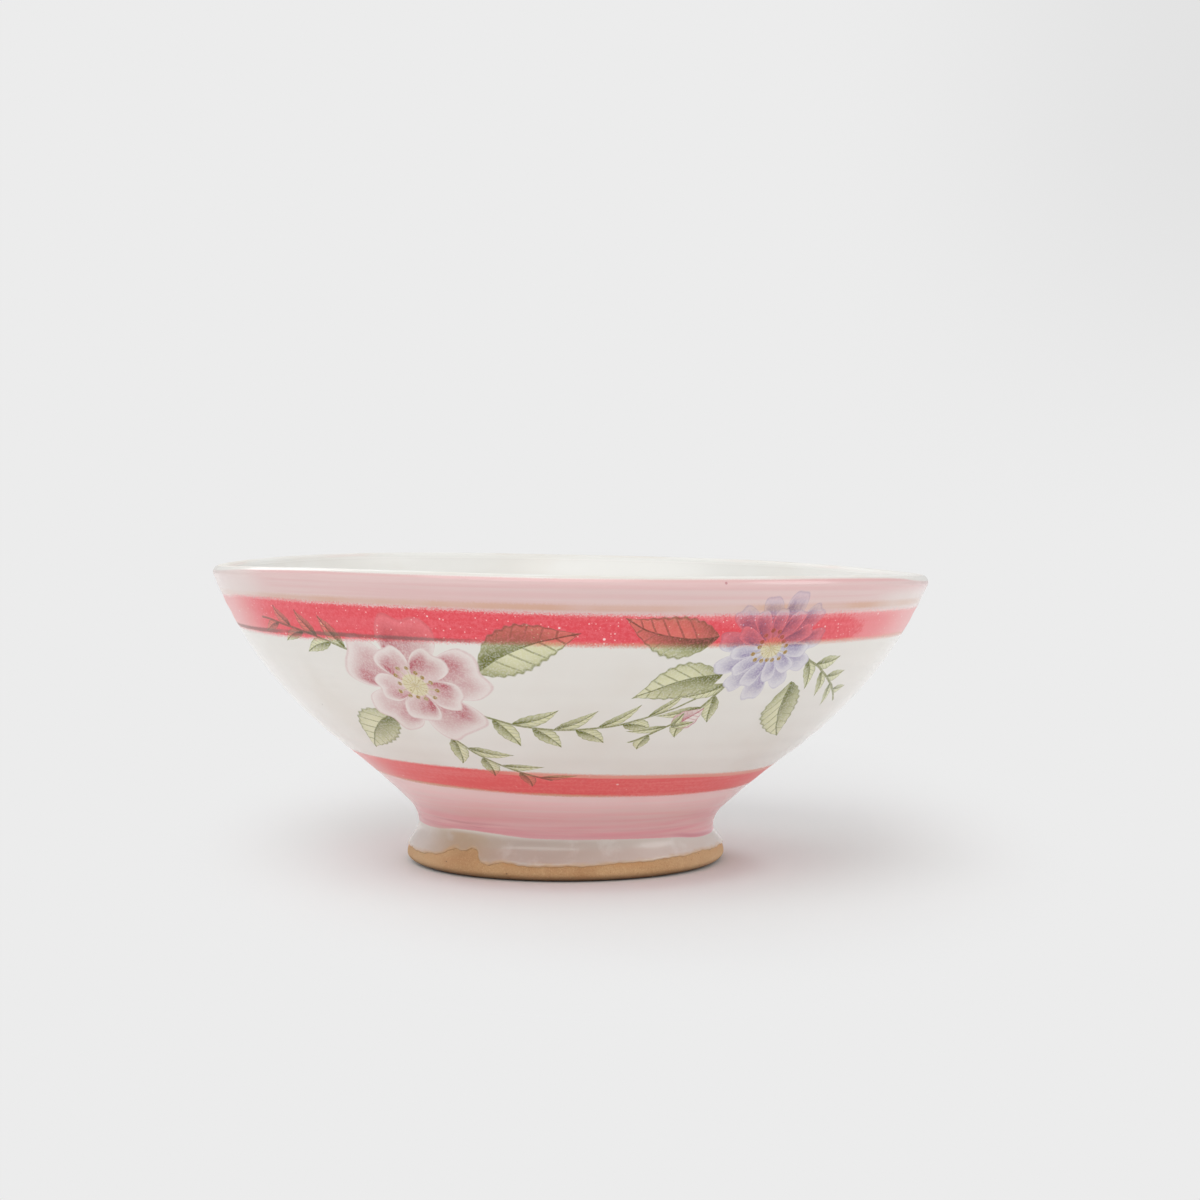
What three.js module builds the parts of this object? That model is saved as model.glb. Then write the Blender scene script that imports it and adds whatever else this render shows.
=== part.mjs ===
// A footed tea bowl, thrown on the wheel in buff stoneware and glazed white, with brushed pink and red bands.
// Sizes are in millimetres. +Z is up, along the wheel's axis, and the origin is the middle of the ring that
// the foot stands on. Every piece is turned about that axis, so each outline is drawn as (radius, height).
import * as THREE from "three";

const degrees = Math.PI / 180;

// The bowl over its glaze
const rimRadius = 75;
const height = 62;
const glazeThickness = 0.4;

// The clay wall, from the waist up to the lip
const waistRadius = 30.5;
const waistHeight = 8;
const coveRadius = 6;
const wallBulge = 11.1 * degrees; // how much further the wall starts to lean than a straight line to the rim
const coneShare = 0.4; // of the height, where the straight part of the wall ends
const wallThickness = 3.5; // of the clay there
const lipThickness = 3.2; // over the glaze

// The foot ring
const footFlare = 2.8; // how far its edge stands out past the waist
const footWall = 5.1; // thickness of its clay at the waist
const footEdgeRadius = 1.6;
const footRestWidth = 4.4; // of the flat that touches the table
const recessEdgeRadius = 1.1;
const bareClayHeight = 3.1; // what is wiped clean of glaze above the table

// The bands of colour, each measured from the one before
const footPinkHeight = 10.4; // up from the waist
const lowerRedHeight = 4;
const rimPinkHeight = 6.4; // down from the top of the lip
const upperRedHeight = 6;
const pinkLipAngle = 60 * degrees; // above level, on the round of the lip

// Facets
const turns = 60;
const steps = {
  footWhite: 4, footPink: 7, lowerRed: 1, field: 5, upperRed: 1, rimPink: 1,
  lipOutside: 2, lipInside: 4, innerWall: 8, floor: 6, edge: 3,
};

const clayMaterial = new THREE.MeshStandardMaterial({ color: "#cfab7a", roughness: 0.85, metalness: 0 });
const whiteMaterial = new THREE.MeshStandardMaterial({ color: "#e6e3dd", roughness: 0.22, metalness: 0 });
const pinkMaterial = new THREE.MeshStandardMaterial({ color: "#dcb1b3", roughness: 0.25, metalness: 0 });
const redMaterial = new THREE.MeshStandardMaterial({ color: "#d8404f", roughness: 0.28, metalness: 0 });

// count + 1 values, evenly spaced from one end to the other
const ladder = (from, to, count) =>
  Array.from({ length: count + 1 }, (_, i) => (i === count ? to : from + ((to - from) * i) / count));

const point = (radius, z) => new THREE.Vector2(radius, z);
const headingFrom = (start, end) => Math.atan2(end.y - start.y, end.x - start.x);
const onCircle = (centre, radius, angle) =>
  point(centre.x + radius * Math.cos(angle), centre.y + radius * Math.sin(angle));

// The lip is a half circle of clay under its glaze.
const lipRadius = lipThickness / 2 - glazeThickness;
const lipCentre = point(rimRadius - lipThickness / 2, height - lipThickness / 2);

// Above the waist the wall is a hollow cove, then a straight cone.
const coneAngle = Math.atan2(rimRadius - waistRadius, height - waistHeight) + wallBulge; // from upright
const coneTop = height * coneShare;
const coveTop = waistHeight + coveRadius * Math.sin(coneAngle);
const coneFoot = waistRadius + coveRadius * (1 - Math.cos(coneAngle));
const coneRadius = (z) => coneFoot + (z - coveTop) * Math.tan(coneAngle);

// From the cone's top the wall is one arc that leaves the cone smoothly and runs smoothly into the lip.
const toLip = point(coneRadius(coneTop), coneTop).sub(lipCentre);
const wallRadius =
  (toLip.lengthSq() - lipRadius ** 2) /
  (2 * (toLip.x * Math.cos(coneAngle) - toLip.y * Math.sin(coneAngle) - lipRadius));
const wallCentre = point(
  coneRadius(coneTop) - wallRadius * Math.cos(coneAngle),
  coneTop + wallRadius * Math.sin(coneAngle),
);
const wallToLip = headingFrom(wallCentre, lipCentre);
const wallTop = onCircle(wallCentre, wallRadius, wallToLip).y;

// The inside leaves the lip smoothly on one arc, down to the point that gives the wall its thickness. From
// there the floor is an arc that leaves the first one smoothly and is level at the axis.
const intoBowl = wallCentre.clone().sub(lipCentre).normalize();
const underLip = lipCentre.clone().addScaledVector(intoBowl, lipRadius);
const outOfCone = point(Math.cos(coneAngle), -Math.sin(coneAngle));
const floorEdge = point(coneRadius(coneTop), coneTop).addScaledVector(outOfCone, -wallThickness);
const lipToFloor = floorEdge.clone().sub(underLip);
const innerWallRadius = lipToFloor.lengthSq() / (2 * lipToFloor.dot(intoBowl));
const innerCentre = underLip.clone().addScaledVector(intoBowl, innerWallRadius);
const floorMeetsWall = headingFrom(innerCentre, floorEdge);
const floorRadius = floorEdge.x / Math.cos(floorMeetsWall);
const floorCentre = point(0, floorEdge.y - floorRadius * Math.sin(floorMeetsWall));

// The foot's outside runs from its round edge in to the waist in an easy double curve.
const footRadius = waistRadius + footFlare;
const flareRadius = (z) => {
  const share = (waistHeight - z) / (waistHeight - footEdgeRadius);
  return waistRadius + ((footRadius - waistRadius) * (1 - Math.cos(Math.PI * share))) / 2;
};

const outsideRadius = (z) => {
  if (z < waistHeight) return flareRadius(z);
  if (z < coveTop) return waistRadius + coveRadius - Math.sqrt(coveRadius ** 2 - (z - waistHeight) ** 2);
  if (z < coneTop) return coneRadius(z);
  return wallCentre.x + Math.sqrt(wallRadius ** 2 - (z - wallCentre.y) ** 2);
};

// A station is a place on the clay's surface with the way that faces out of the clay there.
const station = (place, out) => ({
  clay: place,
  glazed: place.clone().addScaledVector(out, glazeThickness),
});

const slopeStep = 0.01;
const outsideStation = (z) => {
  const rise = z === waistHeight ? 0 : outsideRadius(z + slopeStep) - outsideRadius(z - slopeStep);
  return station(point(outsideRadius(z), z), point(2 * slopeStep, -rise).normalize());
};
const outsideStations = (from, to, count) => ladder(from, to, count).map(outsideStation);

const arcStations = (centre, radius, from, to, count, side = 1) =>
  ladder(from, to, count).map((angle) => {
    const place = onCircle(centre, radius, angle);
    return station(place, place.clone().sub(centre).normalize().multiplyScalar(side));
  });

// The floor's last station is on the axis, where its radius is exactly nothing.
const onAxis = (stations) => {
  const last = stations[stations.length - 1];
  last.clay.x = 0;
  last.glazed.x = 0;
  return stations;
};

// Where one colour gives way to the next
const lowerRedBottom = waistHeight + footPinkHeight;
const lowerRedTop = lowerRedBottom + lowerRedHeight;
const upperRedTop = height - rimPinkHeight;
const upperRedBottom = upperRedTop - upperRedHeight;

const zones = {
  footWhite: outsideStations(bareClayHeight, waistHeight, steps.footWhite),
  footPink: outsideStations(waistHeight, lowerRedBottom, steps.footPink),
  lowerRed: outsideStations(lowerRedBottom, lowerRedTop, steps.lowerRed),
  field: outsideStations(lowerRedTop, upperRedBottom, steps.field),
  upperRed: outsideStations(upperRedBottom, upperRedTop, steps.upperRed),
  rimPink: [
    ...outsideStations(upperRedTop, wallTop, steps.rimPink).slice(0, -1),
    ...arcStations(lipCentre, lipRadius, wallToLip, pinkLipAngle, steps.lipOutside),
  ],
  liner: [
    ...arcStations(lipCentre, lipRadius, pinkLipAngle, wallToLip + Math.PI, steps.lipInside).slice(0, -1),
    ...arcStations(innerCentre, innerWallRadius, wallToLip, floorMeetsWall, steps.innerWall, -1).slice(0, -1),
    ...onAxis(arcStations(floorCentre, floorRadius, floorMeetsWall, -Math.PI / 2, steps.floor, -1)),
  ],
};

// Turns a closed outline, drawn anticlockwise with the axis on its left, into a named piece.
const turned = (name, outline, material) => {
  const closed = [...outline, outline[0]];
  const piece = new THREE.Mesh(new THREE.LatheGeometry(closed, turns).rotateX(Math.PI / 2), material);
  piece.name = name;
  return piece;
};

// A skin of glaze lies between the clay and its own surface, from the zone's first station to its last.
const glazeSkin = (name, zone, material) =>
  turned(name, [...zone.map((s) => s.glazed), ...[...zone].reverse().map((s) => s.clay)], material);

// Stations shared by two zones are listed once.
const clayOf = (...parts) => parts.flatMap((zone, i) => (i ? zone.slice(1) : zone)).map((s) => s.clay);

const thrownBowl = () =>
  turned(
    "thrown_bowl",
    [
      point(0, waistHeight),
      ...clayOf(zones.footPink, zones.lowerRed, zones.field, zones.upperRed, zones.rimPink, zones.liner),
    ],
    clayMaterial,
  );

// The recess under the bowl narrows upwards from the round inner edge of the foot.
const recessTopRadius = waistRadius - footWall;
const recessBottomRadius = footRadius - footEdgeRadius - footRestWidth - recessEdgeRadius;
const recessRadius = (z) =>
  recessBottomRadius +
  ((recessTopRadius - recessBottomRadius) * (z - recessEdgeRadius)) / (waistHeight - recessEdgeRadius);

const footRing = () => {
  const outerEdge = point(footRadius - footEdgeRadius, footEdgeRadius);
  const innerEdge = point(recessBottomRadius + recessEdgeRadius, recessEdgeRadius);
  const rounded = (centre, radius, from, to) =>
    ladder(from, to, steps.edge).map((angle) => onCircle(centre, radius, angle));
  return turned(
    "foot_ring",
    [
      ...rounded(innerEdge, recessEdgeRadius, Math.PI, 1.5 * Math.PI),
      ...rounded(outerEdge, footEdgeRadius, -Math.PI / 2, 0),
      ...clayOf(zones.footWhite),
      point(recessTopRadius, waistHeight),
      point(recessRadius(bareClayHeight), bareClayHeight),
    ],
    clayMaterial,
  );
};

const recessGlaze = () =>
  turned(
    "recess_glaze",
    [
      point(0, waistHeight - glazeThickness),
      point(recessTopRadius - glazeThickness, waistHeight - glazeThickness),
      point(recessRadius(bareClayHeight) - glazeThickness, bareClayHeight),
      point(recessRadius(bareClayHeight), bareClayHeight),
      point(recessTopRadius, waistHeight),
      point(0, waistHeight),
    ],
    whiteMaterial,
  );

const clay = new THREE.Group();
clay.add(thrownBowl(), footRing());

const glaze = new THREE.Group();
glaze.add(
  glazeSkin("liner_glaze", zones.liner, whiteMaterial),
  glazeSkin("rim_pink_band", zones.rimPink, pinkMaterial),
  glazeSkin("upper_red_band", zones.upperRed, redMaterial),
  glazeSkin("white_field_glaze", zones.field, whiteMaterial),
  glazeSkin("lower_red_band", zones.lowerRed, redMaterial),
  glazeSkin("foot_pink_band", zones.footPink, pinkMaterial),
  glazeSkin("foot_white_glaze", zones.footWhite, whiteMaterial),
  recessGlaze(),
);

const teaBowl = new THREE.Group();
teaBowl.name = "tea_bowl";
teaBowl.add(clay, glaze);

export default teaBowl;
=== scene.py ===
"""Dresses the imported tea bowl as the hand-thrown, brushed and printed bowl of the photograph.

The clay, the glaze skins with their brushed bands and the printed flowers are built here around the
turned solids. Lengths are written in millimetres and meshes are made in metres.
"""
import logging
import math
from dataclasses import dataclass
from enum import Enum
from functools import partialmethod

import bpy
import numpy as np
from mathutils import Matrix, Vector


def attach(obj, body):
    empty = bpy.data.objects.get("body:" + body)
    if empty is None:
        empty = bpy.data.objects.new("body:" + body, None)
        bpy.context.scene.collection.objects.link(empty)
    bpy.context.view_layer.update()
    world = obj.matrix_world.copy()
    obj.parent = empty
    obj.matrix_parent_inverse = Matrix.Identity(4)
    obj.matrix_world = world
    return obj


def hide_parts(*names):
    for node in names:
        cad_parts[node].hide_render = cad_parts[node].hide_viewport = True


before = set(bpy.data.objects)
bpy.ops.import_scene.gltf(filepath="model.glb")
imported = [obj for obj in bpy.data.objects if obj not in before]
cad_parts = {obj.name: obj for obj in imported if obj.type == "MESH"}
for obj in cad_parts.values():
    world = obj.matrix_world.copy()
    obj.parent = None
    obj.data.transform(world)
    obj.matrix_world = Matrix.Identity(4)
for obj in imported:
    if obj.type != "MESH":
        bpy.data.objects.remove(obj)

LOG = logging.getLogger("tea_bowl")
MM = 0.001
TAU = 2 * math.pi
Colour = tuple[float, float, float]
Edge = tuple[tuple[float, float], ...]
Waves = tuple[tuple[float, float, float], ...]
BODY = "root"
BAKE_MAP = "OFBake"
TURNING_MAP = "turning"
SHARP_ANGLE = math.radians(38)
LEVEL_UNIT = 100
DRUM = 50.0
PAPER: Colour = (1.0, 1.0, 1.0)


def srgb(*levels: int) -> Colour:
    """Turn a screen colour, 0 to 255, into the linear one that a shader takes."""
    shares = [level / 255 for level in levels]
    return tuple(share / 12.92 if share <= 0.04045 else ((share + 0.055) / 1.055) ** 2.4 for share in shares)


def ease(value: np.ndarray) -> np.ndarray:
    """Go smoothly from 0 to 1 while the value goes from 0 to 1, and stay level beyond both ends."""
    share = np.clip(value, 0.0, 1.0)
    return share * share * (3 - 2 * share)


def waves(azimuth: np.ndarray, parts: Waves) -> np.ndarray:
    """Add up waves round the bowl, each given by its size, how often it comes round and its phase."""
    return sum(size * np.sin(turns * azimuth + phase) for size, turns, phase in parts)


@dataclass
class Path:
    """A line of points on the clay, in millimetres, with the unit way out of the clay at each."""

    radius: np.ndarray
    height: np.ndarray
    out_radius: np.ndarray
    out_height: np.ndarray

    def over(self, depth: float) -> tuple[np.ndarray, np.ndarray]:
        """Find the radius and height of each point of the line that lies this far over the clay."""
        return self.radius + depth * self.out_radius, self.height + depth * self.out_height

    def then(self, other: "Path") -> "Path":
        """Go on along another path that starts where this one ends."""
        pairs = zip(vars(self).values(), vars(other).values())
        return Path(*(np.concatenate([first, second[1:]]) for first, second in pairs))


@dataclass
class BowlShape:
    """The bowl's outline as it left the wheel, in millimetres and radians."""

    rim_radius: float = 75.0
    height: float = 62.0
    glaze: float = 0.4
    waist_radius: float = 30.5
    waist_height: float = 8.0
    cove_radius: float = 6.0
    wall_bulge: float = math.radians(11.1)
    cone_share: float = 0.4
    wall_thickness: float = 3.5
    lip_thickness: float = 3.2
    foot_flare: float = 2.8
    foot_wall: float = 5.1
    foot_edge: float = 1.6
    foot_rest: float = 4.4
    recess_edge: float = 1.1
    bare_clay: float = 3.1
    pink_lip_angle: float = math.radians(60)

    def __post_init__(self) -> None:
        """Work out the arcs that the outline is made of."""
        self.lip_radius = self.lip_thickness / 2 - self.glaze
        self.lip_centre = Vector((self.rim_radius, self.height)) - Vector((1, 1)) * self.lip_thickness / 2
        rise = self.height - self.waist_height
        self.cone_angle = math.atan2(self.rim_radius - self.waist_radius, rise) + self.wall_bulge
        cosine, sine = math.cos(self.cone_angle), math.sin(self.cone_angle)
        self.cone_top = self.height * self.cone_share
        self.cove_top = self.waist_height + self.cove_radius * sine
        self.cone_foot = self.waist_radius + self.cove_radius * (1 - cosine)
        corner = Vector((self.cone_foot + (self.cone_top - self.cove_top) * sine / cosine, self.cone_top))
        away = Vector((cosine, -sine))
        from_lip = corner - self.lip_centre
        self.wall_radius = (from_lip.length_squared - self.lip_radius**2) / (
            2 * (from_lip.dot(away) - self.lip_radius)
        )
        self.wall_centre = corner - away * self.wall_radius
        out_to_lip = (self.lip_centre - self.wall_centre).normalized()
        self.wall_to_lip = math.atan2(out_to_lip.y, out_to_lip.x)
        self.wall_top = self.wall_centre.y + self.wall_radius * out_to_lip.y
        under_lip = self.lip_centre - out_to_lip * self.lip_radius
        self.floor_edge = corner - away * self.wall_thickness
        drop = self.floor_edge - under_lip
        self.inner_radius = drop.length_squared / (-2 * drop.dot(out_to_lip))
        self.inner_centre = under_lip - out_to_lip * self.inner_radius
        spoke = self.floor_edge - self.inner_centre
        self.floor_meets_wall = math.atan2(spoke.y, spoke.x)
        self.floor_radius = self.floor_edge.x / math.cos(self.floor_meets_wall)
        floor_rise = self.floor_radius * math.sin(self.floor_meets_wall)
        self.floor_centre = Vector((0, self.floor_edge.y - floor_rise))
        self.foot_radius = self.waist_radius + self.foot_flare
        self.recess_top = self.waist_radius - self.foot_wall
        self.recess_bottom = self.foot_radius - self.foot_edge - self.foot_rest - self.recess_edge

    def outside_radius(self, height: np.ndarray) -> np.ndarray:
        """Find how far the clay's outside stands from the axis.

        Args:
            height: Heights above the table, from the foot's round edge to the lip.

        Returns:
            A radius for each height.
        """
        share = (self.waist_height - height) / (self.waist_height - self.foot_edge)
        flare = self.waist_radius + self.foot_flare * (1 - np.cos(math.pi * share)) / 2
        in_cove = np.clip(height - self.waist_height, 0, self.cove_radius)
        cove = self.waist_radius + self.cove_radius - np.sqrt(self.cove_radius**2 - in_cove**2)
        cone = self.cone_foot + (height - self.cove_top) * math.tan(self.cone_angle)
        wall = self.wall_centre.x + np.sqrt(self.wall_radius**2 - (height - self.wall_centre.y) ** 2)
        places = [height < self.waist_height, height < self.cove_top, height < self.cone_top]
        return np.select(places, [flare, cove, cone], wall)

    def outside(self, start: float, end: float, step: float = 0.5) -> Path:
        """Walk up the clay's outside.

        Args:
            start: Height of the first point.
            end: Height of the last point.
            step: About how far apart the points are in height.

        Returns:
            The path, going up.
        """
        height = np.linspace(start, end, max(2, round((end - start) / step) + 1))
        nudge = 0.01
        slope = (self.outside_radius(height + nudge) - self.outside_radius(height - nudge)) / (2 * nudge)
        slope = np.where(np.isclose(height, self.waist_height), 0.0, slope)
        long = np.sqrt(1 + slope**2)
        return Path(self.outside_radius(height), height, 1 / long, -slope / long)

    @staticmethod
    def arc(centre: Vector, radius: float, start: float, end: float, step: float, side: int = 1) -> Path:
        """Walk along an arc of the clay.

        Args:
            centre: The arc's centre, as radius and height.
            radius: The arc's radius.
            start: The angle to start from, from level.
            end: The angle to end at.
            step: About how far apart the points are.
            side: 1 where the clay is inside the arc, -1 where it is outside.

        Returns:
            The path from start to end.
        """
        count = max(2, round(abs(end - start) * radius / step) + 1)
        angle = np.linspace(start, end, count)
        cosine, sine = np.cos(angle), np.sin(angle)
        return Path(centre.x + radius * cosine, centre.y + radius * sine, side * cosine, side * sine)

    def lip(self, start: float, end: float) -> Path:
        """Walk over the round of the lip between two angles from level."""
        return self.arc(self.lip_centre, self.lip_radius, start, end, step=0.22)

    def inside(self) -> Path:
        """Walk down the inside, from under the lip to the middle of the floor.

        Returns:
            The path, going down.
        """
        step, meet = 0.8, self.floor_meets_wall
        wall = self.arc(self.inner_centre, self.inner_radius, self.wall_to_lip, meet, step, -1)
        path = wall.then(self.arc(self.floor_centre, self.floor_radius, meet, -math.pi / 2, step, -1))
        path.radius[-1] = path.out_radius[-1] = 0.0
        return path

    def recess_radius(self, height: np.ndarray) -> np.ndarray:
        """Find the hollow's radius under the bowl at each height."""
        share = (height - self.recess_edge) / (self.waist_height - self.recess_edge)
        return self.recess_bottom + (self.recess_top - self.recess_bottom) * share


@dataclass(frozen=True)
class Hand:
    """What the thrower's hand and the kiln did to the true outline, in millimetres and radians.

    Each swell of the wall is given by its size, its middle's height and its reach. Each wave of the lip
    is given by how often it comes round, its size and where it is highest, and the higher lip_power is,
    the sooner the waves die out below the lip.
    """

    lean: float = math.radians(1.085)
    lean_height: float = 14.0
    back_rise: float = 0.8
    rim_wave: float = 0.12
    rim_phase: float = 2.2
    oval: float = 0.12
    oval_phase: float = 0.6
    swells: Waves = (
        (0.5, 43.0, 12.0), (-0.4, 20.5, 5.0), (0.45, 11.0, 3.2), (0.25, 4.0, 4.0),
    )
    lip_waves: Waves = (
        (0, -0.18, 0.0), (1, 0.63, 0.29), (2, 0.45, 0.35), (4, 0.22, -2.84),
    )
    ridge_depth: float = 0.035
    ridge_gap: float = 3.7
    ridge_start: float = 12.0
    ridge_fade: float = 8.0
    top: float = 62.0
    lip_power: int = 12

    def ridges(self, azimuth: np.ndarray, height: np.ndarray) -> np.ndarray:
        """Find the relief of the faint spiral that the fingers left.

        Args:
            azimuth: Angles round the bowl.
            height: Heights above the table.

        Returns:
            How far each place stands out of the wall.
        """
        depth = self.ridge_depth * (1 + 0.5 * np.sin(height * 0.47 + 1.3))
        depth = depth * ease((height - self.ridge_start) / self.ridge_fade)
        return depth * np.sin(TAU * height / self.ridge_gap + azimuth)

    def place(self, azimuth: np.ndarray, radius: np.ndarray, height: np.ndarray) -> np.ndarray:
        """Put points of the true shape where the finished bowl has them.

        Args:
            azimuth: Angles round the bowl, 0 at the front and growing to the right.
            radius: Distances from the axis.
            height: Heights above the table.

        Returns:
            One row of x, y, z for each point, in metres.
        """
        share = np.clip(height / self.top, 0, 1.1)
        lift = sum(size * np.cos(turns * azimuth - phase) for turns, size, phase in self.lip_waves)
        lift = lift * share**self.lip_power
        wide = radius + self.oval * share**2 * np.cos(2 * azimuth + self.oval_phase) + lift / 2
        for size, middle, reach in self.swells:
            wide = wide + np.where(radius > 0, size, 0) * np.exp(-(((height - middle) / reach) ** 2))
        high = height + self.back_rise * share**3 * ((1 - np.cos(azimuth)) / 2) ** 2
        high = high + self.rim_wave * share**3 * np.cos(3 * azimuth + self.rim_phase) + lift
        x, y = wide * np.sin(azimuth), -wide * np.cos(azimuth)
        angle = self.lean * ease(height / self.lean_height)
        cosine, sine = np.cos(angle), np.sin(angle)
        return np.stack([x * cosine + high * sine, y, high * cosine - x * sine], axis=-1) * MM


@dataclass
class TurnedMesh:
    """Rings of points round the axis, joined into one closed body.

    radius, height and paint have a row for each ring and a column for each step round it. paint is the
    height that the brushwork reads. The surface shows between the first rings, seen in number, and the
    others close the body behind it. flat_map is for a dish, which is laid out as seen from above.

    On the square that the finishes are baked on, dish is the radius that a dish fills, corner the place
    and size of its unseen side, strip the start and height of what shows of a strip, under the start and
    depth of its unseen side, and gap the room beside it.
    """

    name: str
    radius: np.ndarray
    height: np.ndarray
    paint: np.ndarray
    seen: int
    flat_map: bool = False
    dish: float = 0.48
    corner: tuple[float, float] = (0.01, 0.03)
    strip: tuple[float, float] = (0.1, 0.88)
    under: tuple[float, float] = (0.07, 0.06)
    gap: float = 0.004

    @classmethod
    def skin(cls, name: str, path: Path, depth: float, steps: int, hand: Hand) -> "TurnedMesh":
        """Make the rings of a skin of glaze that lies over the clay.

        Args:
            name: The piece's name.
            path: Where the skin lies on the clay.
            depth: The glaze's thickness.
            steps: How many points each ring has.
            hand: The hand's relief, which the seen side gets.

        Returns:
            The rings, up the seen side and back along the clay.
        """
        azimuth = cls.azimuths(steps)
        back = np.ones(steps)
        radius, height = path.over(depth)
        ridge = hand.ridges(azimuth[None, :], height[:, None])
        ridge = ridge * np.where(path.radius > 0, 1.0, 0.0)[:, None]
        front_radius = radius[:, None] + ridge * path.out_radius[:, None]
        front_height = height[:, None] + ridge * path.out_height[:, None]
        count = len(radius)
        unseen = np.unique(np.append(np.arange(0, count, 4), count - 1))[::-1]
        clay_radius, clay_height = path.radius[unseen, None] * back, path.height[unseen, None] * back
        return cls(
            name,
            np.concatenate([front_radius, clay_radius]),
            np.concatenate([front_height, clay_height]),
            np.concatenate([height[:, None] * back, clay_height]),
            count,
        )

    @staticmethod
    def azimuths(steps: int) -> np.ndarray:
        """Give the angle of each column, starting at the back."""
        return -math.pi + TAU * np.arange(steps) / steps

    def bake_places(self, ring: np.ndarray, column: np.ndarray) -> tuple[np.ndarray, np.ndarray]:
        """Lay the rings out on the square that the finishes are baked on.

        Long bands are cut into strips that lie one over another.

        Args:
            ring: The ring of each corner of each face.
            column: Its column, up to one past the last.

        Returns:
            The two map coordinates of each corner.
        """
        rings, steps = self.radius.shape
        run = np.hypot(np.diff(self.radius[: self.seen, 0]), np.diff(self.height[: self.seen, 0]))
        along = np.concatenate([[0.0], np.cumsum(run)])
        whole = along[-1]
        behind = (ring.reshape(-1, 4) >= self.seen).any(axis=1).repeat(4)
        order = (ring - self.seen + 1) % rings / (rings - self.seen + 1)
        share = along[np.minimum(ring, self.seen - 1)] / whole
        if self.flat_map:
            angle, reach = TAU * column / steps, self.dish * (1 - share)
            start, size = self.corner
            across = np.where(behind, start + size * column / steps, 0.5 + reach * np.sin(angle))
            return across, np.where(behind, start + size * order, 0.5 - reach * np.cos(angle))
        share = np.where(behind, self.under[0] - self.under[1] * order, self.strip[0] + self.strip[1] * share)
        girth = TAU * float(self.radius[: self.seen].mean())
        fits = [count for count in (1, 2, 3, 4, 5, 6, 8, 9, 10, 12) if steps % count == 0]
        strips = min(fits, key=lambda count: abs(girth / count - whole * count))
        wide = steps // strips
        strip = np.minimum(column.reshape(-1, 4).min(axis=1) // wide, strips - 1).repeat(4)
        across = (column - strip * wide) / wide
        return self.gap + (1 - 2 * self.gap) * across, (strip + share) / strips

    def build(self, hand: Hand, finish: bpy.types.Material, node: str, slot: str) -> None:
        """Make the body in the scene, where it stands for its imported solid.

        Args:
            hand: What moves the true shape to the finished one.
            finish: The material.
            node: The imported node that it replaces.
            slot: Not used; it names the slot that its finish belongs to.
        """
        rings, steps = self.radius.shape
        azimuth = np.broadcast_to(self.azimuths(steps), self.radius.shape)
        points = hand.place(azimuth, self.radius, self.height).reshape(-1, 3)
        first, column = np.divmod(np.arange(rings * steps), steps)
        after = (first + 1) % rings
        ring = np.stack([first, first, after, after], axis=-1)
        turn = np.stack([column, column + 1, column + 1, column], axis=-1)
        on_axis = self.radius.max(axis=1) < 1e-6
        keep = ~(on_axis[first] & on_axis[after])
        ring, turn = ring[keep].ravel(), turn[keep].ravel()
        used, corners = np.unique(ring * steps + np.where(on_axis[ring], 0, turn % steps), return_inverse=True)
        quads = corners.reshape(-1, 4).tolist()
        kept = np.concatenate([[corner not in quad[:i] for i, corner in enumerate(quad)] for quad in quads])
        mesh = bpy.data.meshes.new(self.name)
        # Seen from outside, each quad goes round anticlockwise, so its face looks out. At the axis, two
        # of its corners are one point.
        mesh.from_pydata(points[used], [], [list(dict.fromkeys(quad)) for quad in quads])
        level = self.paint[ring, turn % steps] / LEVEL_UNIT
        for name, place in ((BAKE_MAP, self.bake_places(ring, turn)), (TURNING_MAP, (turn / steps, level))):
            uv_map = mesh.uv_layers.new(name=name)
            uv_map.uv.foreach_set("vector", np.stack(place, axis=-1)[kept].ravel())
        mesh.polygons.foreach_set("use_smooth", np.ones(len(mesh.polygons), dtype=bool))
        mesh.set_sharp_from_angle(angle=SHARP_ANGLE)
        mesh.materials.append(finish)
        mesh.update()
        piece = bpy.data.objects.new(self.name, mesh)
        bpy.context.scene.collection.objects.link(piece)
        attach(piece, BODY)
        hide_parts(node)
        LOG.info("%s: %d faces", self.name, len(mesh.polygons))


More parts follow.
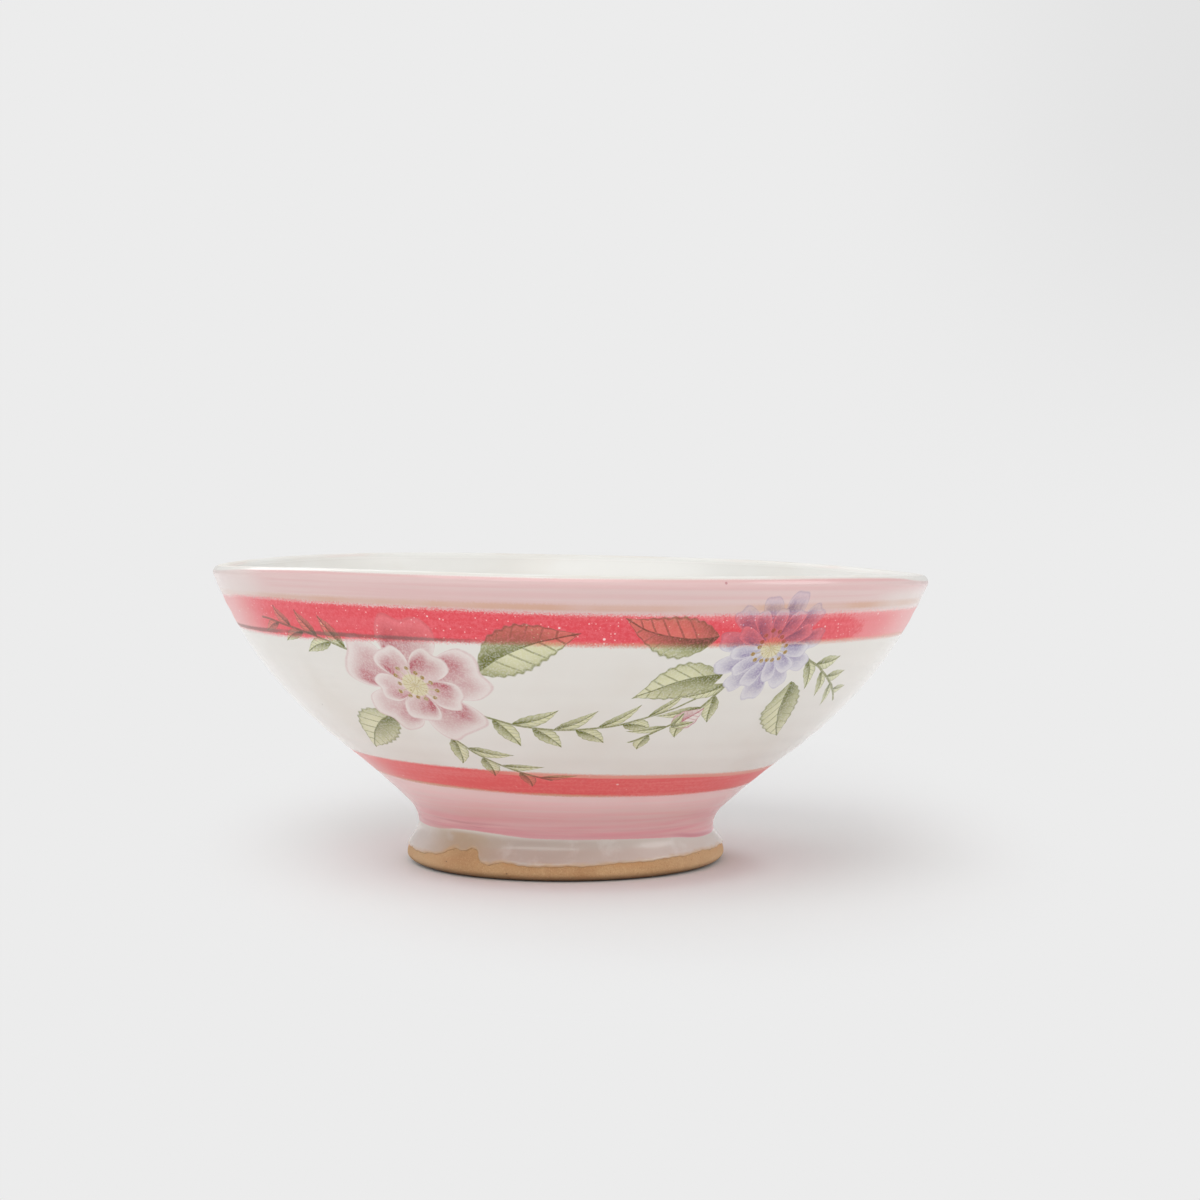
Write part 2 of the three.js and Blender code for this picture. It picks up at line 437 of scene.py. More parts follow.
class Wire:
    """One value in a node tree, which takes part in sums as a number does."""

    def __init__(self, socket: bpy.types.NodeSocket) -> None:
        """Hold the socket that gives the value."""
        self.socket = socket

    def node(self, kind: str, **settings: object) -> bpy.types.Node:
        """Add a node of a kind beside the value's own, with its settings."""
        return add_node(self.socket.id_data, kind, **settings)

    def apply(self, operation: str, *others: "Number", swapped: bool = False) -> "Wire":
        """Put this value and others through one Math node.

        Args:
            operation: The node's operation.
            others: The values that follow this one.
            swapped: Whether they come before it.

        Returns:
            The result.
        """
        node = self.node("ShaderNodeMath", operation=operation)
        values = (*others, self) if swapped else (self, *others)
        return Wire(fill(node, dict(enumerate(values))).outputs[0])

    __add__ = __radd__ = partialmethod(apply, "ADD")
    __sub__ = partialmethod(apply, "SUBTRACT")
    __rsub__ = partialmethod(apply, "SUBTRACT", swapped=True)
    __mul__ = __rmul__ = partialmethod(apply, "MULTIPLY")
    __truediv__ = partialmethod(apply, "DIVIDE")
    __rtruediv__ = partialmethod(apply, "DIVIDE", swapped=True)
    __pow__ = partialmethod(apply, "POWER")
    most = partialmethod(apply, "MAXIMUM")
    least = partialmethod(apply, "MINIMUM")
    over = partialmethod(apply, "GREATER_THAN")
    size = partialmethod(apply, "ABSOLUTE")
    fraction = partialmethod(apply, "FRACT")
    floor = partialmethod(apply, "FLOOR")
    root = partialmethod(apply, "SQRT")
    sine = partialmethod(apply, "SINE")

    def smooth(self, start: "Number", end: "Number") -> "Wire":
        """Go smoothly from 0 at one value to 1 at the other."""
        node = self.node("ShaderNodeMapRange", interpolation_type="SMOOTHSTEP")
        return Wire(fill(node, {0: self, 1: start, 2: end}).outputs["Result"])

    def bell(self, centre: "Number", width: "Number") -> "Wire":
        """Give 1 at the centre, falling smoothly to 0 a width away on both sides."""
        return (self - centre).size().smooth(width, 0)


Number = Wire | float
Value = Number | Colour
Coats = tuple[tuple[Value, Number], ...]


def add_node(tree: bpy.types.NodeTree, kind: str, **settings: object) -> bpy.types.Node:
    """Add a node to a tree.

    Args:
        tree: Where it goes.
        kind: Its type's name.
        settings: Properties to set on it.

    Returns:
        The node.
    """
    node = tree.nodes.new(kind)
    for name, value in settings.items():
        setattr(node, name, value)
    return node


def fill(node: bpy.types.Node, values: dict[str | int, object]) -> bpy.types.Node:
    """Give a node's inputs their values and give the node back.

    Args:
        node: The node.
        values: A wire to link, or a number or colour to write, for each input by name or number.

    Returns:
        The same node.
    """
    for name, value in values.items():
        slot = node.inputs[name]
        if isinstance(value, Wire):
            slot.id_data.links.new(value.socket, slot)
        else:
            slot.default_value = (*value, 1.0) if slot.type == "RGBA" else value
    return node


def blend(first: Value, second: Value, share: Number) -> Wire:
    """Mix two colours. At least one of the three values is a wire.

    Args:
        first: The colour where the share is 0.
        second: The colour where it is 1.
        share: How much of the second there is.

    Returns:
        The mixed colour.
    """
    wire = next(value for value in (share, first, second) if isinstance(value, Wire))
    node = wire.node("ShaderNodeMix", data_type="RGBA")
    numbers = {slot.name: number for number, slot in enumerate(node.inputs) if slot.enabled}
    fill(node, {numbers["Factor"]: share, numbers["A"]: first, numbers["B"]: second})
    return Wire(next(slot for slot in node.outputs if slot.enabled))


def layer(colour: Value, *coats: tuple[Value, Number]) -> Value:
    """Lay more colours over one, each given with how much of it there is.

    Args:
        colour: The colour underneath.
        coats: Each colour and its share, from the first laid to the last.

    Returns:
        What shows.
    """
    for tint, share in coats:
        colour = blend(colour, tint, share)
    return colour


def multiply(first: Wire, second: Wire) -> Wire:
    """Lay one see-through colour over another.

    Args:
        first: The colour underneath.
        second: The see-through one.

    Returns:
        What shows.
    """
    mixed = blend(first, second, 1.0)
    mixed.socket.node.blend_type = "MULTIPLY"
    return mixed


def noise(where: Wire, scale: float, detail: float = 2.0, rough: float = 0.5) -> Wire:
    """Read smooth noise, from 0 to 1 and mostly near a half."""
    values = {"Vector": where, "Scale": scale, "Detail": detail, "Roughness": rough}
    return Wire(fill(where.node("ShaderNodeTexNoise"), values).outputs["Fac"])


def dots(where: Wire, scale: float, radius: float, share: float) -> Wire:
    """Scatter round dots.

    Args:
        where: The place that is asked about.
        scale: How many cells there are to a unit of length.
        radius: The dots' radius, in cells.
        share: The share of cells that hold one.

    Returns:
        1 on a dot and 0 beside it.
    """
    node = fill(where.node("ShaderNodeTexVoronoi", feature="F1"), {"Vector": where, "Scale": scale})
    chosen, _, _ = separate(Wire(node.outputs["Color"]))
    radii = (chosen - (1 - share)) / share * radius
    return Wire(node.outputs["Distance"]).smooth(radii, radii * 0.5) * chosen.over(1 - share)


def combine(x: Wire, y: Wire, z: Number) -> Wire:
    """Join three numbers into a place."""
    return Wire(fill(x.node("ShaderNodeCombineXYZ"), {0: x, 1: y, 2: z}).outputs[0])


def separate(where: Wire) -> tuple[Wire, Wire, Wire]:
    """Split a place or a colour into its three numbers.

    A Separate node would hold shader memory for each part that isn't used.

    Args:
        where: The place or colour.

    Returns:
        The numbers.
    """
    parts = []
    for axis in ((1.0, 0.0, 0.0), (0.0, 1.0, 0.0), (0.0, 0.0, 1.0)):
        node = where.node("ShaderNodeVectorMath", operation="DOT_PRODUCT")
        parts.append(Wire(fill(node, {0: where, 1: axis}).outputs["Value"]))
    return tuple(parts)


def bump(height: Wire, depth: float, under: Wire | None = None) -> Wire:
    """Tilt the surface as a height from 0 to 1 would, of a depth in millimetres, over another bump."""
    values = {"Strength": 1.0, "Distance": depth * MM, "Height": height, **({"Normal": under} if under else {})}
    return Wire(fill(height.node("ShaderNodeBump"), values).outputs[0])


@dataclass(frozen=True)
class Places:
    """The ways in which a finish asks where it is on the bowl.

    spot is the place in metres, level the height in millimetres, angle the azimuth in degrees from the
    front, and band a place in millimetres that is wound on a cylinder, for marks that follow the wheel.
    """

    spot: Wire
    level: Wire
    angle: Wire
    band: Wire

    @classmethod
    def of(cls, tree: bpy.types.NodeTree) -> "Places":
        """Read the places in a material's tree.

        Args:
            tree: The tree.

        Returns:
            The places.
        """
        turn, level, _ = separate(Wire(add_node(tree, "ShaderNodeUVMap", uv_map=TURNING_MAP).outputs[0]))
        level, angle = level * LEVEL_UNIT, (turn - 0.5) * 360
        around = angle * math.radians(1)
        band = combine(around.apply("COSINE") * DRUM, around.sine() * DRUM, level)
        return cls(Wire(add_node(tree, "ShaderNodeTexCoord").outputs["Object"]), level, angle, band)

    def streaks(self, long: float, high: float, shift: float) -> Wire:
        """Read noise that is drawn out round the bowl as a brush leaves it, moved up to be a layer's own.

        Args:
            long: The streaks' length, in millimetres.
            high: Their height.
            shift: How far the pattern is moved.

        Returns:
            The noise.
        """
        values = {"Vector": self.band, "Location": (0.0, 0.0, shift), "Scale": (1 / long, 1 / long, 1 / high)}
        node = fill(self.band.node("ShaderNodeMapping", vector_type="POINT"), values)
        return noise(Wire(node.outputs[0]), 1.0, 3.0)

    def within(self, start: float, full: float, last: float, end: float) -> Wire:
        """Give 1 between the two middle angles, in degrees, fading to 0 at the two outer ones."""
        return self.angle.smooth(start, full) * self.angle.smooth(end, last)

    def curve(self, points: Edge) -> Wire:
        """Read the height of a line drawn round the bowl, which closes at the back.

        Args:
            points: Azimuth in degrees and height in millimetres of points on it, from left to right.

        Returns:
            The line's height at this azimuth.
        """
        low = min(height for _, height in points) - 1
        span = max(height for _, height in points) + 1 - low
        node = self.angle.node("ShaderNodeFloatCurve")
        line = node.mapping.curves[0]
        closing = (points[0][1] + points[-1][1]) / 2
        for end in (0, 1):
            line.points[end].location = (end, (closing - low) / span)
        for angle, height in points:
            line.points.new((angle + 180) / 360, (height - low) / span)
        node.mapping.update()
        return Wire(fill(node, {"Value": (self.angle + 180) / 360}).outputs[0]) * span + low


def draw_leaf(x: Wire, y: Wire, length: Number, width: Number, bow: Number) -> tuple[Wire, Wire]:
    """Draw one veined leaf that points along x.

    Args:
        x: How far along it the place is, in millimetres from its stalk.
        y: How far to its side.
        length: Its length.
        width: Half its greatest width.
        bow: How far it curves to one side.

    Returns:
        Where the leaf is, and how dark its ink is there.
    """
    along = (x / length).most(0.0).least(1.0)
    rest = 1.0 - along
    across = y - along * rest * bow * 4.0
    peak = 0.226
    frill = (x * (TAU / 1.9)).sine() * 0.045 + 1.0
    half = along**0.9 * rest**1.3 * width * frill / peak + 0.001
    off = across.size()
    share = off / half
    inside = share.smooth(1.0, 0.9) * x.over(0.0) * (length - x).over(0.0)
    rib = off.smooth(0.24, 0.1)
    vein = ((along * 7.0 - off / width * 1.3).fraction() - 0.5).size().smooth(0.13, 0.04)
    dark_half = across.smooth(-0.15, 0.15)
    shade = dark_half * (1.0 - share * 0.75) * 0.9 + (1.0 - dark_half) * share * share * 0.4
    shade = shade * along.smooth(1.1, 0.3) + along.smooth(0.4, 0.0) * 0.5
    tone = (share.smooth(0.74, 0.92) * 0.75).most(rib * 0.9)
    tone = tone.most(vein * 0.6).most(shade)
    return inside, tone


def draw_spray(x: Wire, y: Wire, length: Wire, leaf: Wire, gap: Wire, bow: Wire) -> tuple[Wire, Wire]:
    """Draw a bowed stem that has leaves on both sides by turns.

    Args:
        x: How far along the stem's first direction the place is, in millimetres.
        y: How far to its side.
        length: The stem's length.
        leaf: The length of its first leaves, which get shorter to its end.
        gap: How far apart two leaves of one side are.
        bow: How far its end has turned to one side.

    Returns:
        Where the spray is, and how dark its ink is there.
    """
    cosine, sine = math.cos(math.radians(40)), math.sin(math.radians(40))
    along = x / length
    across = y - along * along * bow
    side = across.over(0.0)
    off = across.size()
    start = side * 0.5 + 0.25
    number = ((x - off * (cosine / sine)) / gap - start).apply("ROUND").most(0.0)
    number = number.least(((length / gap) - 1.0).floor())
    stalk = (number + start) * gap
    size = 1.0 - stalk / length * 0.45
    ahead = x - stalk
    leaf_x = (ahead * cosine + off * sine) / size
    leaf_y = (off * cosine - ahead * sine) / size
    inside, tone = draw_leaf(leaf_x, leaf_y, leaf, leaf * 0.2, leaf * -0.07)
    stem = off.smooth(0.36, 0.2) * x.over(0.0) * along.smooth(1.0, 0.98)
    return inside.most(stem), (tone * inside).most(stem * 0.8)


def draw_petals(x: Wire, y: Wire, radius: Wire, count: Wire, notch: Wire, turn: Wire) -> tuple[Wire, Wire]:
    """Draw one ring of petals, shaded to one side and pale along their edges.

    Args:
        x: Place across the flower, in millimetres from its middle.
        y: Place up the flower.
        radius: The flower's radius.
        count: How many petals it has.
        notch: How deep the dent in each petal's end is, as a share of the radius.
        turn: How far the ring is turned, in whole turns.

    Returns:
        Where the petals are, and how dark their ink is there.
    """
    reach = (x * x + y * y).root()
    way = y.apply("ARCTAN2", x) / TAU + turn
    step = way * count + 0.5
    off = step.fraction() - 0.5
    number = step.floor().apply("WRAP", count, 0.0)
    luck = ((number * 2.4 + 1.0).sine() * 43.7).fraction()
    edge = off.size() * 2.0
    round_end = (1.0 - edge**2.6).most(0.0) ** 0.5
    ruffle = (way * (TAU * 17.0) + number).sine() * 0.014
    outline = radius * (luck * 0.14 + 0.88) * (round_end * 0.64 + 0.36 - edge.smooth(0.5, 0.0) * notch + ruffle)
    share = reach / outline
    inside = share.smooth(1.0, 0.965)
    hairs = noise(combine(way * count * 7.0, reach * 0.22, number), 1.0, 3.0)
    body = share.smooth(0.97, 0.66) * (off * 0.75 + 0.55) * (share.smooth(0.1, 0.62) * 0.55 + 0.45)
    body = body * (hairs * 1.1 + 0.5) * (luck * 0.3 + 0.85)
    fold = edge.smooth(0.84, 1.0) * share.smooth(0.98, 0.75) * 0.7
    line = share.smooth(0.93, 0.985) * 0.32
    return inside, body.most(fold).most(line)


def draw_heart(x: Wire, y: Wire, radius: Wire, count: Wire) -> tuple[Wire, Wire]:
    """Draw a flower's middle: a grainy disc and a ring of stamens.

    Args:
        x: Place across the flower, in millimetres from its middle.
        y: Place up the flower.
        radius: How far out the stamens reach.
        count: How many stamens there are.

    Returns:
        Where the middle is, and how dark its ink is there.
    """
    reach = (x * x + y * y).root()
    step = y.apply("ARCTAN2", x) / TAU * count + 0.5
    aside = (step.fraction() - 0.5) * (TAU / count) * reach
    wander = (step.floor() * 5.1).sine() * 0.16 + 0.82
    from_tip = reach - radius * wander
    tip = (aside * aside + from_tip * from_tip).root().smooth(0.62, 0.38)
    thread = aside.size().smooth(0.16, 0.07) * from_tip.over(0.0).apply("SUBTRACT", 1.0).size()
    disc = reach.smooth(radius * 0.62, radius * 0.5)
    grain = dots(combine(x, y, 0.0), 1.25, 0.42, 0.9)
    inside = disc.most(tip).most(thread * 0.8)
    return inside, (disc * (grain * 0.5 + 0.22)).most(tip).most(thread * 0.5)


class Print(Enum):
    """The kinds of drawing that the transfers are made of, with the sizes that each takes."""

    LEAF = ("length", "width", "bow")
    SPRAY = ("length", "leaf", "gap", "bow")
    PETALS = ("radius", "count", "notch", "turn")
    HEART = ("radius", "count")

    def draw(self, x: Wire, y: Wire, *sizes: Wire) -> tuple[Wire, Wire]:
        """Draw this kind at a place."""
        pens = {"LEAF": draw_leaf, "SPRAY": draw_spray, "PETALS": draw_petals, "HEART": draw_heart}
        return pens[self.name](x, y, *sizes)

    def group(self) -> bpy.types.NodeTree:
        """Give the node group that draws this kind, made on its first use.

        Returns:
            The group, with the spot and the sizes going in and where the ink is and its tone coming out.
        """
        name = f"printed_{self.name.lower()}"
        if name in bpy.data.node_groups:
            return bpy.data.node_groups[name]
        tree = bpy.data.node_groups.new(name, "ShaderNodeTree")
        tree.interface.new_socket("spot", in_out="INPUT", socket_type="NodeSocketVector")
        for way, names in (("INPUT", self.value), ("OUTPUT", ("inside", "tone"))):
            for value in names:
                tree.interface.new_socket(value, in_out=way, socket_type="NodeSocketFloat")
        spot, *sizes = [Wire(slot) for slot in add_node(tree, "NodeGroupInput").outputs[: len(self.value) + 1]]
        x, y, _ = separate(spot)
        fill(add_node(tree, "NodeGroupOutput"), dict(enumerate(self.draw(x, y, *sizes))))
        return tree


@dataclass(frozen=True)
class Tint:
    """The lightest and the deepest colour that one ink prints."""

    pale: Colour
    deep: Colour


LEAF_GREEN = Tint(srgb(241, 243, 202), srgb(108, 116, 0))
ROSE = Tint(srgb(252, 243, 244), srgb(200, 96, 112))
LAVENDER = Tint(srgb(238, 237, 249), srgb(146, 130, 186))
POLLEN = Tint(srgb(250, 247, 208), srgb(176, 140, 66))


Inks = tuple[Tint, ...]


class Bloom(Enum):
    """The kinds of open flower.

    Each is given by its petals and their notch, the inner ring's share of the radius, its notch and its
    turn, and the middle's share of the radius and its stamens.
    """

    FLOWER = (5.0, 0.1, 0.62, 0.07, 0.1, 0.27, 13.0)
    DAISY = (11.0, 0.04, 0.74, 0.03, 0.045, 0.3, 15.0)


@dataclass(frozen=True)
class Motif:
    """One printed drawing and where it lies on the bowl.

    azimuth and turn are in degrees and height in millimetres. turn is anticlockwise from level. inks holds
    its tint on the bowl's front and, where that is another one, on its back.
    """

    kind: Print
    azimuth: float
    height: float
    turn: float
    sizes: tuple[float, ...]
    inks: tuple[Tint, ...]

    def reaches(self, low: float, high: float) -> bool:
        """Tell whether the drawing may reach into a range of heights."""
        return self.height - self.sizes[0] - 3 < high and self.height + self.sizes[0] + 3 > low

    def stand(self, shape: BowlShape, hand: Hand, indoors: bool) -> tuple[tuple[float, ...], tuple[float, ...]]:
        """Find how the drawing lies on the finished bowl.

        Args:
            shape: The bowl's true shape.
            hand: What moves it to the finished one.
            indoors: Whether the drawing is inside the bowl.

        Returns:
            Its place in metres, and its turns about x, y and z.
        """
        path = shape.inside() if indoors else shape.outside(self.height - 0.5, self.height + 0.5)
        nearest = int(np.abs(path.height - self.height).argmin())
        angle = math.radians(self.azimuth)
        place = hand.place(np.array([angle]), path.radius[[nearest]], np.array([self.height]))[0]
        right = Vector((math.cos(angle), math.sin(angle), 0)) * (-1 if indoors else 1)
        out = path.out_radius[nearest]
        away = Vector((out * math.sin(angle), -out * math.cos(angle), path.out_height[nearest]))
        lying = Matrix((right, away.cross(right), away)).transposed()
        lying = lying @ Matrix.Rotation(math.radians(self.turn), 3, "Z")
        return tuple(place), tuple(lying.to_euler("XYZ"))

    def draw(self, spot: Wire, stand: tuple[tuple[float, ...], ...]) -> tuple[Wire, Wire]:
        """Draw it.

        Args:
            spot: The place on the bowl that is asked about, in metres.
            stand: How the drawing lies there.

        Returns:
            Where it is, and how dark its ink is there.
        """
        lying = {"Vector": spot, "Location": stand[0], "Rotation": stand[1], "Scale": (MM, MM, MM)}
        here = Wire(fill(spot.node("ShaderNodeMapping", vector_type="TEXTURE"), lying).outputs[0])
        drawing = spot.node("ShaderNodeGroup", node_tree=self.kind.group())
        fill(drawing, {"spot": here, **dict(zip(self.kind.value, self.sizes))})
        return Wire(drawing.outputs["inside"]), Wire(drawing.outputs["tone"])


def bloom(kind: Bloom, azimuth: float, height: float, turn: float, radius: float, inks: Inks) -> list[Motif]:
    """Compose an open flower of two rings of petals round a middle.

    Args:
        kind: Which flower.
        azimuth: Where it is round the bowl, in degrees.
        height: How high its middle is, in millimetres.
        turn: How far it is turned, in degrees.
        radius: Its radius.
        inks: Its tints on the bowl's front and back.

    Returns:
        Its drawings, from the back to the front.
    """
    petals, notch, inner, inner_notch, inner_turn, heart, stamens = kind.value
    place = (azimuth, height, turn)
    return [
        Motif(Print.PETALS, *place, (radius, petals, notch, 0.0), inks),
        Motif(Print.PETALS, *place, (radius * inner, petals, inner_notch, inner_turn), inks),
        Motif(Print.HEART, *place, (radius * heart, stamens), (POLLEN,)),
    ]


def leaf(azimuth: float, height: float, turn: float, length: float, bow: float = 1.0) -> Motif:
    """Compose one large leaf."""
    return Motif(Print.LEAF, azimuth, height, turn, (length, length * 0.25, bow), (LEAF_GREEN,))


def bud(azimuth: float, height: float, turn: float, length: float, inks: Inks) -> list[Motif]:
    """Compose a closed bud between two small green leaves."""
    cup = ((turn + side, (length * 0.62, length * 0.12, 0.0), (LEAF_GREEN,)) for side in (24.0, -24.0))
    return [Motif(Print.LEAF, azimuth, height, *rest) for rest in ((turn, (length, length * 0.34, 0.0), inks), *cup)]


def spray(azimuth: float, height: float, turn: float, length: float, leaf_size: float, bow: float) -> Motif:
    """Compose a leafy stem."""
    return Motif(Print.SPRAY, azimuth, height, turn, (length, leaf_size, leaf_size * 0.78, bow), (LEAF_GREEN,))


OUTSIDE_PRINT: tuple[Motif, ...] = (
    spray(-15.0, 35.5, -28.0, 37.0, 10.0, 15.0),
    spray(-24.0, 31.5, -62.0, 23.0, 9.5, 6.0),
    spray(-36.0, 47.0, 158.0, 25.0, 9.0, 6.0),
    spray(29.0, 44.0, -112.0, 23.0, 9.0, -7.0),
    spray(42.0, 47.5, -22.0, 24.0, 8.5, -6.0),
    leaf(-14.0, 44.0, 20.0, 22.0, 2.2),
    leaf(-33.5, 35.0, 226.0, 19.0, -1.8),
    leaf(24.0, 52.0, 172.0, 19.0, 1.8),
    leaf(42.0, 42.5, -64.0, 18.0, -1.5),
    leaf(27.0, 44.5, 203.0, 18.0, -1.6),
    *bud(21.0, 33.6, 46.0, 7.5, (ROSE, LAVENDER)),
    *bloom(Bloom.FLOWER, -26.0, 41.0, 12.0, 17.0, (ROSE, LAVENDER)),
    *bloom(Bloom.DAISY, 34.0, 49.5, 8.0, 13.5, (LAVENDER, ROSE)),
)
INSIDE_PRINT: tuple[Motif, ...] = (
    spray(150.0, 49.0, 15.0, 26.0, 8.0, -6.0),
    leaf(158.0, 47.0, 200.0, 12.0),
    *bud(128.0, 50.5, 5.0, 7.0, (ROSE, LAVENDER)),
)


@dataclass(frozen=True)
class Transfer:
    """A set of drawings that is printed under the last glaze, on the outside or indoors.

    slip is how far the print strays from its drawing, in millimetres, and drift how quickly it does so.
    grain is how much of the ink the paper's grain took, and body how much of it hides the glaze.
    """

    motifs: tuple[Motif, ...]
    shape: BowlShape
    hand: Hand
    indoors: bool = False
    slip: float = 0.9
    drift: float = 130.0
    grain: float = 0.3
    body: float = 0.1

    def lay(self, places: Places, colour: Wire) -> Wire:
        """Print the set on the glaze. Outside, the back repeats the front in other inks.

        Args:
            places: Where the finish asks.
            colour: The glaze's colour.

        Returns:
            The colour with the prints.
        """
        x, y, z = separate(places.spot)
        back = y.over(0.0)
        flip = 1.0 - back * 2.0
        spot = places.spot if self.indoors else combine(x * flip, y * flip, z)
        drift = fill(spot.node("ShaderNodeTexNoise"), {"Vector": spot, "Scale": self.drift, "Detail": 1.0})
        moved = spot.node("ShaderNodeVectorMath", operation="MULTIPLY_ADD")
        fill(moved, {0: Wire(drift.outputs["Color"]), 1: (self.slip * MM,) * 3, 2: spot})
        ink, veil = blend(PAPER, PAPER, back), back * 0.0
        for motif in self.motifs:
            stand = motif.stand(self.shape, self.hand, self.indoors)
            inside, tone = motif.draw(Wire(moved.outputs[0]), stand)
            front, behind = motif.inks[0], motif.inks[-1]
            pale, deep = front.pale, front.deep
            if behind != front:
                pale, deep = blend(pale, behind.pale, back), blend(deep, behind.deep, back)
            ink, veil = blend(ink, blend(pale, deep, tone), inside), veil.most(inside)
        ink = blend(ink, PAPER, noise(places.spot, 2600.0, 1.0).smooth(0.4, 0.7) * self.grain)
        return blend(multiply(colour, ink), ink, veil * self.body)


HEM: Edge = (
    (-180, 3.3), (-165, 3.0), (-150, 3.6), (-132, 4.4), (-121, 3.4), (-100, 3.1), (-80, 3.3), (-60, 3.3),
    (-52, 3.6), (-48, 4.2), (-45.5, 5.1), (-42.5, 5.3), (-40.5, 4.8), (-38, 5.0), (-35.5, 5.6), (-33.5, 5.4),
    (-32.3, 4.8), (-31.4, 3.9), (-30, 3.2), (-27, 3.0), (-22, 3.5), (-18, 3.4), (-15.5, 3.0), (-8, 3.1),
    (5, 3.1), (14, 3.4), (40, 3.7), (60, 3.9), (85, 3.5), (110, 3.1), (128, 3.9), (136, 3.2), (160, 3.5),
    (180, 3.3),
)


@dataclass(frozen=True)
class Stroke:
    """One band laid on with a loaded brush while the bowl turned.

    bottom and top are its edges, as azimuth in degrees and height in millimetres. wander is how far the
    edges stray in long waves, grain how far in fine crumbs, and soft how far they fade.
    """

    bottom: Edge
    top: Edge
    wander: float
    grain: float
    soft: float
    shift: float

    def cover(self, places: Places) -> Wire:
        """Find how much of the band there is at a place.

        Args:
            places: Where the finish asks.

        Returns:
            1 inside the band and 0 outside.
        """
        stray = (places.streaks(16.0, 9.0, self.shift) - 0.5) * (2 * self.wander)
        crumbs = (noise(places.spot, 3100.0, 2.0, 0.7) - 0.5) * (2 * self.grain)
        level = places.level + stray + crumbs
        above = (level - places.curve(self.bottom)).smooth(-self.soft, self.soft)
        return above * (places.curve(self.top) - level).smooth(-self.soft, self.soft)


def line_along(places: Places, edge: Edge, width: float, shift: float) -> Wire:
    """Find a thin brushed line that follows an edge.

    Args:
        places: Where the finish asks.
        edge: The line's middle.
        width: Half its thickness, in millimetres.
        shift: Gives the line its own unevenness.

    Returns:
        1 in its middle, falling to 0 beside it.
    """
    crumbs = (noise(places.spot, 2300.0, 2.0) - 0.5) * 0.5
    uneven = places.streaks(12.0, 40.0, shift).smooth(0.3, 0.62) * 0.7 + 0.3
    return (places.level + crumbs - places.curve(edge)).size().smooth(width, width * 0.2) * uneven


@dataclass(frozen=True)
class GlazeBody:
    """The white glaze that every skin has: its depth of colour, its gloss and the marks of the kiln."""

    milk: Colour = srgb(226, 223, 217)
    thin: Colour = srgb(219, 213, 204)
    speck: Colour = srgb(112, 92, 74)
    speck_scale: float = 420.0
    gloss: float = 0.13
    worn: float = 0.1
    peel: float = 0.018
    throwing: float = 0.012
    pitting: float = 0.03
    pit_roughness: float = 0.3
    dry_roughness: float = 0.16
    refraction: float = 1.6

    def ground(self, places: Places, specks: float) -> Wire:
        """Mix the white, a little creamier where it ran thin, with iron specks that bled through.

        Args:
            places: Where the finish asks.
            specks: The share of cells that hold a speck.

        Returns:
            The colour.
        """
        thinning = noise(places.spot, 45.0, 3.0).smooth(0.46, 0.7) * 0.5
        bled = dots(places.spot, self.speck_scale, 0.11, specks) * 0.75
        return layer(self.milk, (self.thin, thinning), (self.speck, bled))

    def dry_lip(self, places: Places, start: float) -> Wire:
        """Dry the glaze over the lip from a height up, and most at the left, where it is worn."""
        worn = places.within(-100.0, -80.0, -52.0, -40.0)
        return places.level.smooth(start, start + 0.75) * (worn * 2.2 + 1.6)

    def coat(self, material: bpy.types.Material, places: Places, colour: Wire, dry: Number = 0.0) -> None:
        """Lay the glaze with its gloss and its uneven skin.

        Args:
            material: The skin's material.
            places: Where the finish asks.
            colour: Its colour.
            dry: Where it is drier and rougher than elsewhere.
        """
        pits = dots(places.spot, 300.0, 0.09, 0.05)
        rough = noise(places.spot, 120.0, 4.0, 0.6) * self.worn + self.gloss + pits * self.pit_roughness
        if isinstance(dry, Wire):
            rough = rough + dry * self.dry_roughness
        peel = bump(noise(places.spot, 190.0, 2.0), self.peel)
        rings = bump(places.streaks(34.0, 1.5, 3.0), self.throwing, peel)
        skin = {"Base Color": colour, "Roughness": rough, "Normal": bump(1.0 - pits, self.pitting, rings)}
        fill(material.node_tree.nodes["Principled BSDF"], {**skin, "IOR": self.refraction})


def new_material(name: str) -> bpy.types.Material:
    """Make an empty node material.

    Args:
        name: Its name.

    Returns:
        The material.
    """
    material = bpy.data.materials.new(name)
    material.use_nodes = True
    return material


